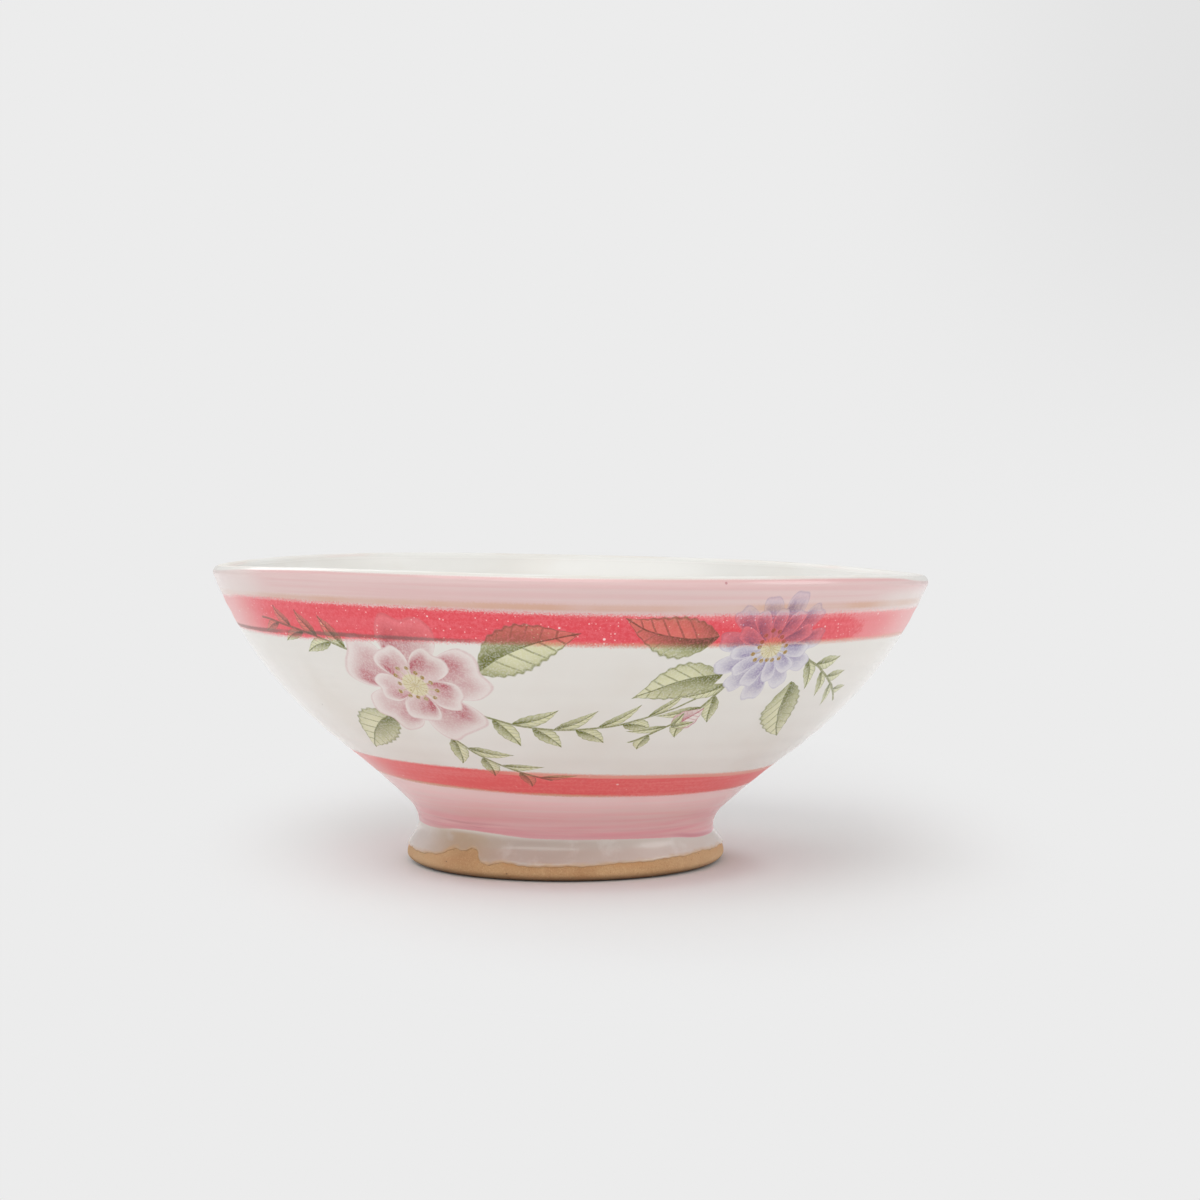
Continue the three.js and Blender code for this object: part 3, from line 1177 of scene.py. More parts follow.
@dataclass(frozen=True)
class BrushedGlaze:
    """The outside: white glaze with pink and red brushed bands and the printed flowers.

    The pinks are given at the top and the bottom of each band, and each red thick and thin. The glaze over
    the foot, thin over the clay, is given at the sides and, darker with painted shade, at the front. Every band
    reads one set of edges, so its ragged border runs on over the seams between the skins.
    """

    body: GlazeBody = GlazeBody()
    rim_pink: tuple[Colour, Colour] = (srgb(221, 182, 181), srgb(217, 184, 181))
    lip_pink: Colour = srgb(218, 160, 160)
    foot_pink: tuple[Colour, Colour] = (srgb(240, 200, 200), srgb(226, 158, 163))
    pooled_pink: Colour = srgb(196, 130, 136)
    waist_pink: Colour = srgb(198, 122, 134)
    red: tuple[Colour, Colour] = (srgb(225, 58, 71), srgb(232, 92, 104))
    red_wash: Colour = srgb(236, 150, 152)
    low_red: tuple[Colour, Colour] = (srgb(228, 82, 84), srgb(234, 118, 116))
    salmon: Colour = srgb(226, 170, 150)
    crystal: Colour = srgb(252, 224, 222)
    low_crystal: Colour = srgb(246, 208, 206)
    freckle: Colour = srgb(176, 108, 112)
    ochre: Colour = srgb(206, 158, 124)
    umber: Colour = srgb(136, 72, 66)
    stain: Colour = srgb(186, 158, 124)
    sheer_and_shade: tuple[Colour, Colour] = (srgb(212, 203, 194), srgb(192, 177, 165))
    clay_glow: Colour = srgb(202, 166, 124)
    lip_start: float = 61.0
    rim_line: Edge = ((-90, 56.2), (-60, 56.4), (0, 56.5), (70, 56.7), (90, 56.4))
    brown_line: Edge = ((-100, 49.4), (-65, 49.3), (-50, 49.6), (-40, 49.8), (-20, 49.9), (0, 49.9), (100, 49.9))
    upper_line: Edge = ((-90, 49.6), (-10, 49.7), (30, 49.75), (60, 50.0), (90, 49.8))
    lower_line: Edge = ((-90, 19.3), (-65, 19.3), (-50, 19.0), (-30, 18.75), (-10, 18.4), (20, 18.1), (60, 18.0))
    rim_stroke: Stroke = Stroke(
        ((-90, 55.5), (-42, 55.8), (0, 55.4), (60, 55.6), (90, 55.4)),
        (
            (-90, 60.6), (-70, 60.9), (-60, 61.3), (-50, 61.5), (-20, 61.4), (20, 61.5), (54, 61.5),
            (68, 60.9), (90, 60.6),
        ),
        0.12, 0.12, 0.2, 1.0,
    )
    upper_stroke: Stroke = Stroke(
        (
            (-90, 48.8), (-65, 48.6), (-50, 48.6), (-40, 48.8), (-30, 49.2), (-10, 49.6), (20, 49.6),
            (50, 49.9), (90, 49.6),
        ),
        ((-90, 55.4), (-70, 55.6), (-60, 56.0), (-40, 55.8), (-20, 55.6), (0, 55.3), (40, 55.5), (90, 55.3)),
        0.14, 0.9, 0.48, 2.0,
    )
    lower_stroke: Stroke = Stroke(
        ((-90, 19.3), (-65, 19.2), (-50, 18.9), (-30, 18.7), (-10, 18.3), (20, 18.0), (40, 17.9), (90, 18.0)),
        ((-90, 23.7), (-65, 23.8), (-30, 23.6), (-10, 23.4), (10, 23.1), (30, 22.8), (65, 22.2), (90, 22.6)),
        0.12, 0.5, 0.26, 4.0,
    )
    foot_stroke: Stroke = Stroke(
        (
            (-90, 8.3), (-60, 8.3), (-50, 8.6), (-40, 9.0), (-30, 8.9), (-20, 8.6), (-10, 8.3), (20, 8.2),
            (45, 7.6), (75, 6.6), (100, 8.0),
        ),
        ((-90, 19.4), (-50, 19.2), (-10, 18.8), (40, 18.4), (90, 18.5)),
        0.12, 0.12, 0.14, 5.0,
    )

    def rim(self, places: Places) -> Coats:
        """Brush the pink band under the lip, with its streaks and the ochre line at its foot.

        Args:
            places: Where the finish asks.

        Returns:
            Its coats, from the first laid to the last.
        """
        level, angle = places.level, places.angle
        left, right = angle.smooth(-46.0, -60.0), angle.smooth(46.0, 62.0)
        streaks = places.streaks(40.0, 0.9, 7.0).smooth(0.32, 0.7)
        watery = left * 0.5 + right * level.smooth(60.5, 58.0) * 0.5
        pink = layer(
            self.rim_pink[1],
            (self.rim_pink[0], level.smooth(56.0, 61.0)),
            (self.body.milk, (streaks * 0.26).most(watery)),
            (self.lip_pink, level.bell(61.3, 0.5) * (1.0 - left) * 0.35),
        )
        ends = angle.smooth(-34.0, -46.0) + angle.smooth(50.0, 60.0)
        line = line_along(places, self.rim_line, 0.95, 11.0) * (0.66 - ends * 0.22)
        return (pink, self.rim_stroke.cover(places)), (self.ochre, line)

    def upper(self, places: Places) -> Coats:
        """Brush the red band, thinner past the place where the stroke's end was lapped.

        Args:
            places: Where the finish asks.

        Returns:
            Its coats, from the first laid to the last.
        """
        level, angle, cover = places.level, places.angle, self.upper_stroke.cover(places)
        crumbs = noise(places.spot, 3300.0, 2.0, 0.7) * 0.5 + noise(places.spot, 1500.0, 1.0) * 0.5
        thin = (places.streaks(30.0, 1.1, 21.0) * 0.3 + crumbs * 0.7).smooth(0.4, 0.64)
        paler_top = level.smooth(53.8, 55.2) * angle.smooth(-14.0, 26.0)
        ragged = (places.streaks(7.0, 2.2, 23.0) - 0.5) * 12.0 + (crumbs - 0.5) * 4.0
        beyond = (angle + ragged).smooth(48.5, 52.5) * angle.smooth(115.0, 80.0)
        started = places.within(-120.0, -95.0, -71.5, -51.0)
        faint = angle.smooth(55.0, 72.0) * beyond
        red = layer(
            self.red[0],
            (self.red[1], thin),
            (self.red_wash, paler_top * (crumbs.smooth(0.4, 0.6) * 0.4 + 0.25)),
            (self.red_wash, (beyond * (faint * 0.35 + 0.55)).most(started * 0.8)),
        )
        bare = dots(places.spot, 620.0, 0.22, 0.22).most(dots(places.spot, 1500.0, 0.32, 0.5) * 0.75)
        fine, broad = (line_along(places, self.brown_line, *line) for line in ((0.46, 31.0), (0.56, 37.0)))
        fade = places.within(-110.0, -80.0, -22.0, -8.0)
        glow = line_along(places, self.upper_line, 0.7, 33.0) * angle.smooth(-16.0, -4.0)
        return (
            (red, cover * (1.0 - faint * 0.2 - started * 0.25)),
            (self.crystal, bare * cover * 0.9),
            (self.umber, (fine.most(broad) * 1.5).least(1.0) * fade * 0.86),
            (self.ochre, glow * 0.45),
        )

    def lower(self, places: Places) -> Coats:
        """Brush the narrow red band above the foot, with the see-through strip along its top.

        Args:
            places: Where the finish asks.

        Returns:
            Its coats, from the first laid to the last.
        """
        angle, cover = places.angle, self.lower_stroke.cover(places)
        crumbs = noise(places.spot, 1500.0, 3.0, 0.7)
        thin = (places.streaks(36.0, 0.8, 41.0) * 0.5 + crumbs * 0.5).smooth(0.42, 0.64)
        strip = (places.level - places.curve(self.lower_stroke.top)).smooth(-1.0, -0.7)
        started = places.within(-120.0, -95.0, -68.5, -48.5)
        red = layer(
            self.low_red[0],
            (self.low_red[1], thin * 0.8),
            (self.salmon, strip * angle.smooth(-26.0, -6.0) * 0.72),
            (self.red_wash, started * 0.85),
        )
        fade = angle.smooth(24.0, -4.0) * 0.7 + 0.2
        return (
            (red, cover * (1.0 - started * 0.15)),
            (self.low_crystal, dots(places.spot, 560.0, 0.2, 0.14) * cover * 0.8),
            (self.ochre, line_along(places, self.lower_line, 0.5, 43.0) * fade * 0.8),
        )

    def foot(self, places: Places) -> Coats:
        """Brush the pink band round the cove, deeper and streakier towards the foot.

        Args:
            places: Where the finish asks.

        Returns:
            Its coats, from the first laid to the last.
        """
        level, angle = places.level, places.angle
        streaks = places.streaks(44.0, 1.0, 51.0).smooth(0.34, 0.68)
        pooled = level.bell(10.0, 1.3) * places.streaks(30.0, 0.7, 53.0).smooth(0.42, 0.6)
        left = places.within(-95.0, -70.0, -32.0, -12.0)
        right = places.within(40.0, 56.0, 90.0, 120.0)
        edge = (level - places.curve(self.foot_stroke.bottom)).bell(0.5, 0.8)
        pink = layer(
            self.foot_pink[1],
            (self.foot_pink[0], level.smooth(9.0, 18.0)),
            (self.body.milk, streaks * 0.24),
            (self.pooled_pink, pooled * (left * 0.6 + 0.15)),
            (self.waist_pink, edge * (right * 0.6 + 0.22)),
        )
        return ((pink, self.foot_stroke.cover(places)),)

    def hem(self, places: Places) -> Coats:
        """Let the clay show through the white round the foot, where the glaze ran thin, with painted shade darkest
        at the front.

        Args:
            places: Where the finish asks.

        Returns:
            Its coats, from the first laid to the last.
        """
        level, angle = places.level, places.angle
        sheer_and_shade = level.smooth(8.9, 7.6) * (1.0 - self.foot_stroke.cover(places))
        sheer_and_shade = sheer_and_shade * (places.streaks(26.0, 3.0, 63.0) * 0.3 + 0.8)
        cloud = noise(places.spot, 190.0, 4.0, 0.6).smooth(0.52, 0.7)
        notch = angle.bell(-41.0, 26.0) * level.smooth(9.3, 8.0)
        patch = notch * (places.streaks(9.0, 2.4, 61.0) + 0.4).smooth(0.5, 0.9)
        above = level - places.curve(HEM) + (places.streaks(5.0, 1.6, 65.0) - 0.5) * 1.2
        return (
            # Thin glaze over the clay, with painted shade that darkens it most at the front.
            (blend(*self.sheer_and_shade, angle.bell(-10.0, 62.0)), sheer_and_shade),
            (self.body.milk, cloud * sheer_and_shade * 0.4),
            (self.stain, patch * 0.8),
            (self.clay_glow, above.smooth(1.0, 0.0) * sheer_and_shade * 0.85),
        )

    def freckles(self, places: Places) -> Coats:
        """Splash a few rosy freckles on the right of the rim's pink."""
        where = places.level.smooth(56.6, 57.4) * places.angle.smooth(8.0, 20.0)
        return ((self.freckle, dots(places.spot, 330.0, 0.12, 0.24) * where * 0.7),)

    def make(self, name: str, reach: tuple[float, float], shape: BowlShape, hand: Hand) -> bpy.types.Material:
        """Make the material of one skin, with only the brushwork and the prints that reach it.

        Args:
            name: The material's name.
            reach: The skin's lowest and highest place, in millimetres.
            shape: The bowl's true shape, which the prints lie on.
            hand: What moves it to the finished one.

        Returns:
            The material.
        """
        low, high = reach
        material = new_material(name)
        places = Places.of(material.node_tree)
        colour = self.body.ground(places, 0.012)
        dry: Number = self.body.dry_lip(places, 60.8) if high > self.lip_start else 0.0
        brushes = (
            (self.foot, 0.0, 21.0, None),
            (self.lower, 16.0, 26.0, self.lower_stroke),
            (self.rim, 54.0, 63.0, None),
            (self.freckles, 56.0, 63.0, None),
            (self.upper, 47.0, 57.5, self.upper_stroke),
            (self.hem, 0.0, 9.5, None),
        )
        for brush, bottom, top, dry_stroke in brushes:
            if low < top and high > bottom:
                colour = layer(colour, *brush(places))
                dry = dry_stroke.cover(places) + dry if dry_stroke else dry
        motifs = tuple(motif for motif in OUTSIDE_PRINT if motif.reaches(low, high))
        if motifs:
            colour = Transfer(motifs, shape, hand).lay(places, colour)
        self.body.coat(material, places, colour, dry)
        return material


@dataclass(frozen=True)
class LinerGlaze:
    """The inside: plain white glaze, thin over the lip, with a small print under the rim."""

    body: GlazeBody = GlazeBody(milk=srgb(229, 228, 224), thin=srgb(223, 219, 212), speck_scale=360.0, gloss=0.2)
    blush: Colour = srgb(226, 196, 192)
    thin_lip: Colour = srgb(214, 202, 188)

    def make(self, shape: BowlShape, hand: Hand) -> bpy.types.Material:
        """Make the material.

        Args:
            shape: The bowl's true shape, which the print lies on.
            hand: What moves it to the finished one.

        Returns:
            The material for the skin inside.
        """
        material = new_material("liner_glaze")
        places = Places.of(material.node_tree)
        lip = places.level.smooth(61.3, 61.85) * places.streaks(10.0, 3.0, 71.0).smooth(0.4, 0.66)
        wash = places.level.bell(61.5, 0.6) * places.streaks(22.0, 2.0, 73.0).smooth(0.5, 0.7)
        colour = layer(self.body.ground(places, 0.02), (self.thin_lip, lip * 0.35), (self.blush, wash * 0.35))
        colour = Transfer(INSIDE_PRINT, shape, hand, indoors=True).lay(places, colour)
        self.body.coat(material, places, colour, self.body.dry_lip(places, 60.6))
        return material


@dataclass(frozen=True)
class HollowGlaze:
    """The underside inside the foot ring: white glaze, uneven and stained where it was wiped."""

    body: GlazeBody = GlazeBody(speck_scale=360.0, gloss=0.18, worn=0.2)
    stain: Colour = srgb(200, 178, 146)

    def make(self) -> bpy.types.Material:
        """Make the material.

        Returns:
            The material for the glaze under the bowl.
        """
        material = new_material("hollow_glaze")
        places = Places.of(material.node_tree)
        wiped = places.level.smooth(5.0, 3.2) * noise(places.spot, 240.0, 3.0).smooth(0.36, 0.62)
        self.body.coat(material, places, blend(self.body.ground(places, 0.05), self.stain, wiped * 0.8))
        return material


@dataclass(frozen=True)
class BareClay:
    """Buff stoneware: sandy, with iron specks and the fine rings that turning leaves."""

    buff: Colour = srgb(200, 164, 120)
    toasted: Colour = srgb(176, 130, 86)
    flashed: Colour = srgb(196, 146, 96)
    pale: Colour = srgb(222, 192, 152)
    speck: Colour = srgb(104, 74, 50)
    # Painted contact shade where the foot meets the table, and the radii over which it deepens on the foot's outer
    # round.
    contact_shade: Colour = srgb(122, 90, 62)
    shade_edge: tuple[float, float] = (30.4, 31.8)
    roughness: float = 0.76
    turning: float = 0.03
    sandiness: float = 0.09
    pitting: float = 0.12

    def make(self) -> bpy.types.Material:
        """Make the material.

        Returns:
            The material for the clay wall and the foot.
        """
        material = new_material("bare_stoneware")
        places = Places.of(material.node_tree)
        spot, level, angle = places.spot, places.level, places.angle
        grains = noise(spot, 3200.0, 3.0, 0.75)
        flash = level.bell(3.4, 1.6) * places.streaks(14.0, 3.0, 81.0).smooth(0.4, 0.65)
        x, y, _ = separate(spot)
        outer = ((x * x + y * y) ** 0.5 * 1000.0).smooth(*self.shade_edge)
        colour = layer(
            self.buff,
            (self.toasted, noise(spot, 110.0, 3.0).smooth(0.4, 0.7) * 0.6),
            (self.toasted, grains.smooth(0.52, 0.68) * 0.6),
            (self.pale, grains.smooth(0.46, 0.34) * 0.45),
            (self.flashed, flash * 0.5),
            # Painted light: the clay is paler towards the left and right sides than at the front.
            (self.pale, (angle.smooth(34.0, 60.0) + angle.smooth(-30.0, -58.0)) * 0.32),
            (self.speck, dots(spot, 800.0, 0.26, 0.14) * 0.85),
            (self.toasted, dots(spot, 1700.0, 0.36, 0.3) * 0.7),
            # Painted contact shade: darker towards the table, most on the outer round of the foot.
            (self.contact_shade, level.smooth(1.8, 0.1) * (outer * 0.7 + 0.2)),
        )
        turned = bump(places.streaks(60.0, 0.5, 83.0), self.turning)
        sand = bump(noise(spot, 1300.0, 3.0, 0.65), self.sandiness, turned)
        pitted = bump(1.0 - dots(spot, 500.0, 0.22, 0.1), self.pitting, sand)
        rough = noise(spot, 300.0, 2.0) * 0.16 + self.roughness
        skin = {"Base Color": colour, "Roughness": rough, "Normal": pitted}
        fill(material.node_tree.nodes["Principled BSDF"], skin)
        return material


@dataclass
class Foot:
    """The turned foot: its worn clay, and the ragged hem where the glaze was wiped off.

    The hem is given as azimuth in degrees and height in millimetres. bead is how much thicker the glaze
    is where it stopped running, and bead_reach how far above the hem it is full. shiver and hollow_run are
    the waves of the two hems. The counts of rings set how finely each stretch of the outline is drawn.
    """

    shape: BowlShape
    hand: Hand
    steps: int = 480
    hollow_steps: int = 240
    core_radius: float = 28.0
    hem: Edge = HEM
    bead: float = 0.07
    bead_reach: float = 0.7
    waviness: float = 0.11
    worn: float = 0.85
    hollow_corner: float = 0.8
    wall_rings: int = 18
    rest_rings: int = 14
    side_rings: int = 34
    glaze_rings: int = 30
    hollow_rings: tuple[int, int, int] = (40, 7, 12)
    shiver: Waves = ((0.09, 19, 1.0), (0.06, 43, 0.0), (0.05, 97, 0.0))
    hollow_run: Waves = ((0.25, 5, 0.4), (0.15, 11, 0.0))

    def clay_radius(self, azimuth: np.ndarray, height: np.ndarray) -> np.ndarray:
        """Find the foot's outside, which the turning tool left a little uneven.

        Args:
            azimuth: Angles round the foot.
            height: Heights above the table.

        Returns:
            The radius at each place.
        """
        chatter = np.sin(3 * azimuth + 0.9) + 0.6 * np.sin(7 * azimuth + height * 0.9) + 0.4 * np.sin(13 * azimuth)
        fades = ease((self.shape.waist_height - height) / 3.5) * ease(height / 1.2)
        return self.shape.outside_radius(height) + self.waviness * chatter / 2 * fades

    def hem_height(self, azimuth: np.ndarray) -> np.ndarray:
        """Find how high the glaze's lower edge is at each angle."""
        angles, heights = zip(*self.hem)
        return np.interp(np.degrees(azimuth), angles, heights) + waves(azimuth, self.shiver)

    def build_clay(self, finish: bpy.types.Material) -> None:
        """Turn the clay ring, from the hollow's ceiling over the rest to the waist.

        Args:
            finish: The clay's material.
        """
        shape = self.shape
        azimuth = TurnedMesh.azimuths(self.steps)[None, :]
        inner_edge = Vector((shape.recess_bottom + shape.recess_edge, shape.recess_edge))
        outer_edge = Vector((shape.foot_radius - shape.foot_edge, shape.foot_edge))
        wall_height = np.linspace(shape.waist_height, shape.recess_edge, self.wall_rings)[:-1]
        inner = shape.arc(inner_edge, shape.recess_edge, math.pi, 1.5 * math.pi, step=0.25)
        outer = shape.arc(outer_edge, shape.foot_edge, -math.pi / 2, 0, step=0.25)
        outer.radius -= self.worn * (1 - outer.height / shape.foot_edge) ** 2
        rest = np.linspace(inner.radius[-1], outer.radius[0], self.rest_rings)[1:-1]
        side = np.linspace(shape.foot_edge, shape.waist_height, self.side_rings)[1:]
        radius = [shape.recess_radius(wall_height), inner.radius, rest, outer.radius, side, [self.core_radius]]
        height = [wall_height, inner.height, rest * 0, outer.height, side, [shape.waist_height]]
        radius = np.concatenate(radius)[:, None] + 0 * azimuth
        height = np.concatenate(height)[:, None] + 0 * azimuth
        seen = len(height) - 1
        flared = slice(seen - len(side), seen)
        outside = slice(flared.start - len(outer.radius), seen)
        true = shape.outside_radius(height)
        radius[flared] = true[flared]
        radius[outside] += (self.clay_radius(azimuth, height) - true)[outside]
        TurnedMesh("clay_foot", radius, height, height, seen).build(self.hand, finish, "foot_ring", "clay")

    def build_glaze(self, finish: bpy.types.Material) -> None:
        """Lay the skin of glaze round the foot, down to its ragged hem.

        Args:
            finish: The glaze's material.
        """
        azimuth = TurnedMesh.azimuths(self.steps)[None, :]
        rows = self.glaze_rings
        share = np.linspace(0, 1, rows)[:, None] ** 1.6
        hem = self.hem_height(azimuth)
        height = hem + (self.shape.waist_height - hem) * share
        rise = height - hem
        swell = np.sqrt(1 - (1 - np.clip(rise / self.bead_reach, 0, 1)) ** 2)
        bead = self.bead * ease(rise / 0.4) * ease((1.8 - rise) / 1.2)
        radius = self.clay_radius(azimuth, height)
        depth = self.shape.glaze * swell + bead
        unseen = [rows - 1, *range(rows - 2, -1, -4)]
        radius = np.concatenate([radius + depth, radius[unseen] - 0.02])
        height = np.concatenate([height, height[unseen]])
        mesh = TurnedMesh("foot_glaze", radius, height, height, rows)
        mesh.build(self.hand, finish, "foot_white_glaze", "white_glaze")

    def build_hollow(self, finish: bpy.types.Material) -> None:
        """Glaze the hollow under the bowl, over its ceiling and part of the way down its wall.

        Args:
            finish: The glaze's material.
        """
        shape, corner = self.shape, self.hollow_corner
        azimuth = TurnedMesh.azimuths(self.hollow_steps)[None, :]
        ceiling = shape.waist_height - shape.glaze
        top_radius = shape.recess_top - shape.glaze
        flat_rings, bend_rings, wall_rings = self.hollow_rings
        flat = np.linspace(0, top_radius - corner, flat_rings)
        turn = np.linspace(math.pi / 2, 0, bend_rings)[1:]
        bend_radius = top_radius - corner + corner * np.cos(turn)
        bend_height = ceiling - corner + corner * np.sin(turn)
        wall = np.linspace(ceiling - corner, shape.bare_clay + 0.1, wall_rings)[1:]
        radius = np.concatenate([flat, bend_radius, shape.recess_radius(wall) - shape.glaze * 0.85])[:, None]
        height = np.concatenate([flat * 0 + ceiling, bend_height, wall])[:, None]
        spiral = 0.05 * np.sin(radius * 1.7 + azimuth) * ease(radius / 3) * ease((top_radius - 1.5 - radius) / 2)
        hem = waves(azimuth, self.hollow_run) * ease((5 - height) / 2.5)
        row = 0 * azimuth
        back_radius = np.array([[shape.recess_radius(shape.bare_clay)], [shape.recess_top], [0.0]]) + row
        back_height = np.array([[shape.bare_clay], [shape.waist_height], [shape.waist_height]]) + row
        mesh = TurnedMesh(
            "hollow_glaze",
            np.concatenate([radius + row, back_radius]),
            np.concatenate([height - spiral + hem, back_height]),
            np.concatenate([height + row, back_height]),
            len(radius),
        )
        mesh.build(self.hand, finish, "recess_glaze", "white_glaze")


@dataclass
class Bowl:
    """The thrown wall and the skins of glaze that cover it, outside and inside."""

    shape: BowlShape
    hand: Hand
    steps: int = 360
    core_radius: float = 15.0
    lower_red: tuple[float, float] = (18.4, 22.4)
    upper_red: tuple[float, float] = (49.6, 55.6)

    def rim_path(self) -> Path:
        """Walk from the upper red band up over the round of the lip."""
        wall = self.shape.outside(self.upper_red[1], self.shape.wall_top, step=0.4)
        return wall.then(self.shape.lip(self.shape.wall_to_lip, self.shape.pink_lip_angle))

    def liner_path(self) -> Path:
        """Walk from the lip down the inside to the middle of the floor."""
        lip = self.shape.lip(self.shape.pink_lip_angle, self.shape.wall_to_lip + math.pi)
        return lip.then(self.shape.inside())

    def build_clay(self, finish: bpy.types.Material) -> None:
        """Throw the wall of clay.

        Args:
            finish: The clay's material.
        """
        waist = self.shape.waist_height
        wall = self.shape.outside(waist, self.upper_red[1], step=1.0)
        whole = wall.then(self.rim_path()).then(self.liner_path())
        row = np.zeros((1, self.steps // 2))
        radius = np.append(whole.radius, [0.0, self.core_radius])[:, None] + row
        height = np.append(whole.height, [waist, waist])[:, None] + row
        mesh = TurnedMesh("clay_wall", radius, height, height, len(whole.radius))
        mesh.build(self.hand, finish, "thrown_bowl", "clay")

    def build_outside(self, glaze: BrushedGlaze) -> None:
        """Lay the five skins of the outside, from the foot up.

        Args:
            glaze: The brushed glaze, which makes each skin's finish.
        """
        shape, low, high = self.shape, self.lower_red, self.upper_red
        top = shape.wall_top + shape.glaze
        skins = (
            ("foot_pink_brushwork", (shape.waist_height, low[0]), "foot_pink_band", "pink_glaze"),
            ("lower_red_brushwork", low, "lower_red_band", "red_glaze"),
            ("field_glaze", (low[1], high[0]), "white_field_glaze", "white_glaze"),
            ("upper_red_brushwork", high, "upper_red_band", "red_glaze"),
            ("rim_pink_brushwork", (high[1], top), "rim_pink_band", "pink_glaze"),
        )
        for name, reach, node, slot in skins:
            path = self.rim_path() if node == "rim_pink_band" else shape.outside(*reach)
            mesh = TurnedMesh.skin(name, path, shape.glaze, self.steps, self.hand)
            mesh.build(self.hand, glaze.make(f"{name}_finish", reach, shape, self.hand), node, slot)

    def build_lining(self, finish: bpy.types.Material) -> None:
        """Lay the skin of the inside.

        Args:
            finish: The lining's glaze.
        """
        mesh = TurnedMesh.skin("lining", self.liner_path(), self.shape.glaze, self.steps, self.hand)
        mesh.flat_map = True
        mesh.build(self.hand, finish, "liner_glaze", "white_glaze")


@dataclass(frozen=True)
class Softbox:
    """One round soft lamp that points at the bowl. Lengths are in metres and power in watts."""

    name: str
    place: tuple[float, float, float]
    size: float
    power: float

    def build(self) -> None:
        """Hang the lamp."""
        lamp = bpy.data.lights.new(self.name, "AREA")
        lamp.shape = "DISK"
        lamp.size = self.size
        lamp.energy = self.power
        holder = bpy.data.objects.new(self.name, lamp)
        holder.location = self.place
        holder.rotation_euler = (-Vector(self.place)).to_track_quat("-Z", "Y").to_euler()
        bpy.context.scene.collection.objects.link(holder)


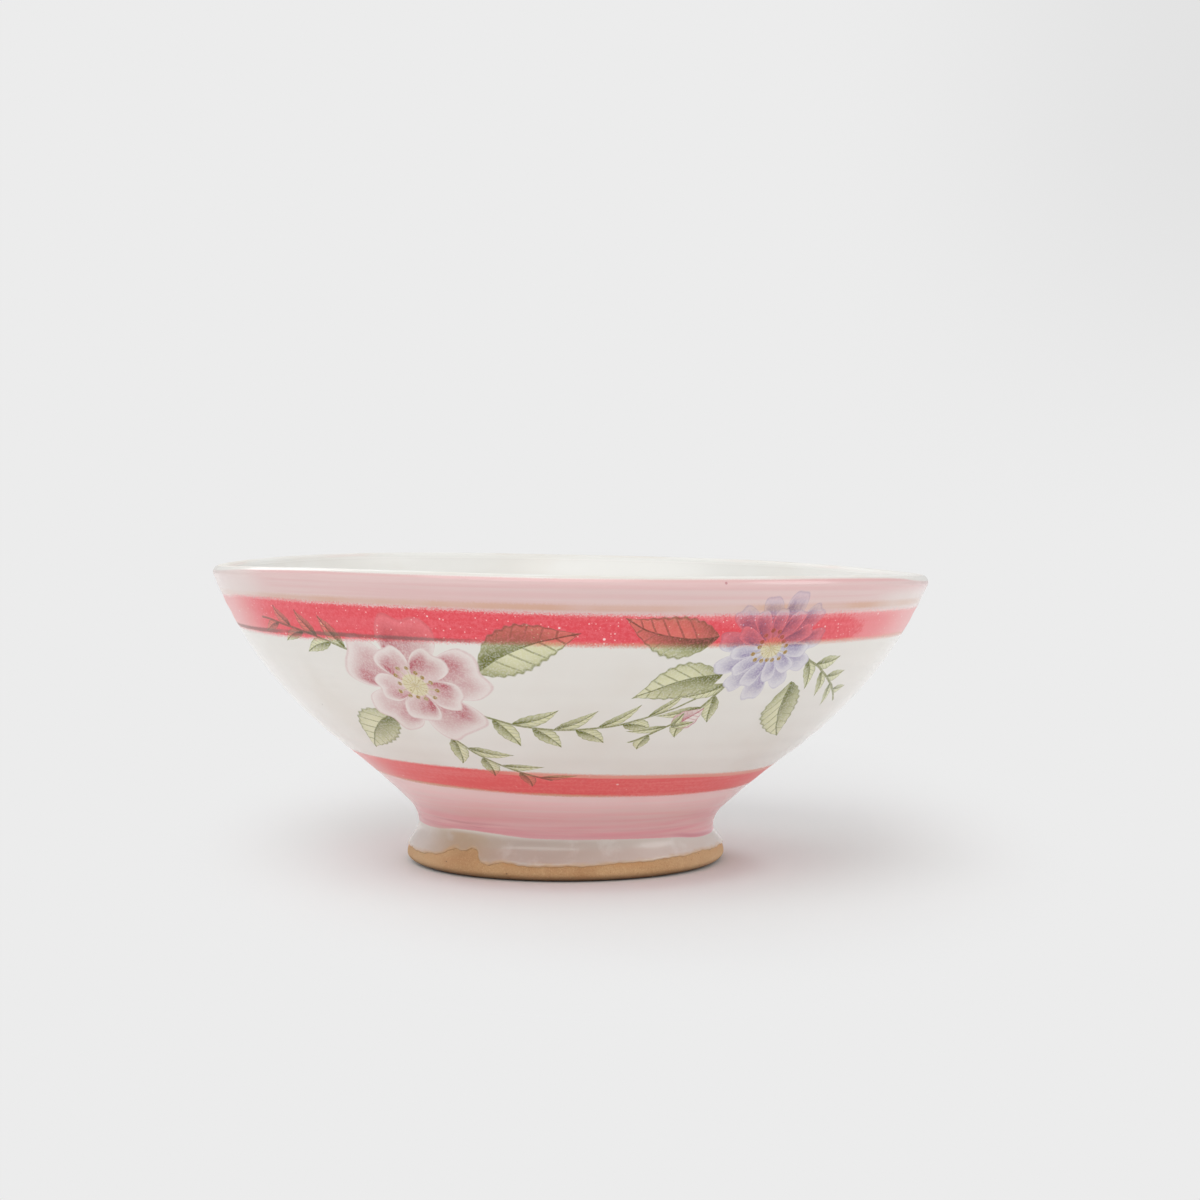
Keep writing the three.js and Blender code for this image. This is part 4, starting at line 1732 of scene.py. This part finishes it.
@dataclass(frozen=True)
class Studio:
    """The table, the white room, the lamps and the camera. Lengths are in metres and angles in degrees.

    The camera sees the table as part paper colour and part lit, so that its shadows stay pale: lit beside
    the foot (halo), mostly lit round the bowl and paper farther out (fade). Both are rings given by their
    middle and two radii, and the outer one is longer across the table than along it by table_stretch.
    """

    paper: Colour = srgb(236, 236, 236)
    far_paper: Colour = srgb(227, 227, 227)
    table_lit: Colour = (0.765, 0.765, 0.765)
    table_bounce: Colour = (0.92, 0.92, 0.92)
    table_paper: float = 0.23
    table_radius: float = 3.2
    table_depth: float = 0.00005
    table_corners: int = 96
    halo: tuple[float, float, float, float] = (0.004, -0.008, 0.03, 0.042)
    fade: tuple[float, float, float, float] = (0.0129, 0.0735, 0.0541, 0.1055)
    table_stretch: float = 0.46
    sky: float = 0.655
    lamps: tuple[Softbox, ...] = (
        Softbox("softbox", (-0.2, -0.6, 0.95), 1.15, 5.33),
        Softbox("side_fill", (1.0, -0.25, 0.5), 0.6, 1.7),
        Softbox("back_light", (-0.6, 0.8, 0.9), 0.8, 3.2),
    )
    camera_place: tuple[float, float, float] = (0.00728, -0.5005, 0.07756)
    camera_dip: float = 2.62
    lens: float = 71.1
    sensor: float = 36.0
    nearest: float = 0.01

    def build(self) -> None:
        """Set up the camera, the table and the light."""
        self.build_camera()
        self.build_table()
        self.build_light()

    def build_camera(self) -> None:
        """Put the camera where the photograph was taken from."""
        camera = bpy.data.cameras.new("camera")
        camera.lens, camera.sensor_width, camera.clip_start = self.lens, self.sensor, self.nearest
        holder = bpy.data.objects.new("camera", camera)
        holder.location = self.camera_place
        holder.rotation_euler = (math.radians(90 - self.camera_dip), 0.0, 0.0)
        scene = bpy.context.scene
        scene.collection.objects.link(holder)
        scene.camera = holder
        scene.view_settings.view_transform = "Standard"

    def build_table(self) -> None:
        """Lay a round white table whose far part melts into the backdrop."""
        mesh = bpy.data.meshes.new("table")
        angles = TAU * np.arange(self.table_corners) / self.table_corners
        radius, level = self.table_radius, -self.table_depth
        points = [(radius * math.cos(angle), radius * math.sin(angle), level) for angle in angles]
        mesh.from_pydata(points, [], [list(range(len(points)))])
        table = bpy.data.objects.new("table", mesh)
        bpy.context.scene.collection.objects.link(table)
        material = new_material("table_paper")
        tree = material.node_tree
        x, y, _ = separate(Wire(add_node(tree, "ShaderNodeTexCoord").outputs["Object"]))
        near = ((x - self.halo[0]) ** 2.0 + (y - self.halo[1]) ** 2.0).root()
        far = ((x - self.fade[0]) ** 2.0 + ((y - self.fade[1]) * self.table_stretch) ** 2.0).root()
        share = near.smooth(*self.halo[2:]) * self.table_paper
        share = share + far.smooth(*self.fade[2:]) * (1.0 - self.table_paper)
        seen = Wire(add_node(tree, "ShaderNodeLightPath").outputs["Is Camera Ray"])
        white = blend(self.table_bounce, self.table_lit, seen)
        matte = fill(add_node(tree, "ShaderNodeBsdfDiffuse"), {"Color": white})
        glow = fill(add_node(tree, "ShaderNodeEmission"), {"Color": self.paper})
        looks = {0: share * seen, 1: Wire(matte.outputs[0]), 2: Wire(glow.outputs[0])}
        mixed = fill(add_node(tree, "ShaderNodeMixShader"), looks)
        fill(tree.nodes["Material Output"], {"Surface": Wire(mixed.outputs[0])})
        mesh.materials.append(material)

    def build_light(self) -> None:
        """Light the bowl from a white room and the lamps."""
        world = bpy.data.worlds.new("white_room")
        bpy.context.scene.world = world
        world.use_nodes = True
        tree = world.node_tree
        seen = Wire(add_node(tree, "ShaderNodeLightPath").outputs["Is Camera Ray"])
        right, _, up = separate(Wire(add_node(tree, "ShaderNodeTexCoord").outputs["Generated"]))
        backdrop = blend(self.paper, self.far_paper, right.smooth(0.08, 0.26) * up.smooth(-0.03, 0.16))
        sky = {"Color": blend(PAPER, backdrop, seen), "Strength": seen * (1.0 - self.sky) + self.sky}
        fill(tree.nodes["Background"], sky)
        for lamp in self.lamps:
            lamp.build()


def main() -> None:
    """Build the studio, the foot and the bowl."""
    logging.basicConfig(level=logging.INFO, format="%(message)s")
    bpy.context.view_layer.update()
    shape, hand = BowlShape(), Hand()
    Studio().build()
    clay, brushed = BareClay().make(), BrushedGlaze()
    foot, bowl = Foot(shape, hand), Bowl(shape, hand)
    foot.build_clay(clay)
    foot.build_glaze(brushed.make("foot_glaze_finish", (0.0, shape.waist_height), shape, hand))
    foot.build_hollow(HollowGlaze().make())
    bowl.build_clay(clay)
    bowl.build_outside(brushed)
    bowl.build_lining(LinerGlaze().make(shape, hand))


if __name__ == "__main__":
    main()
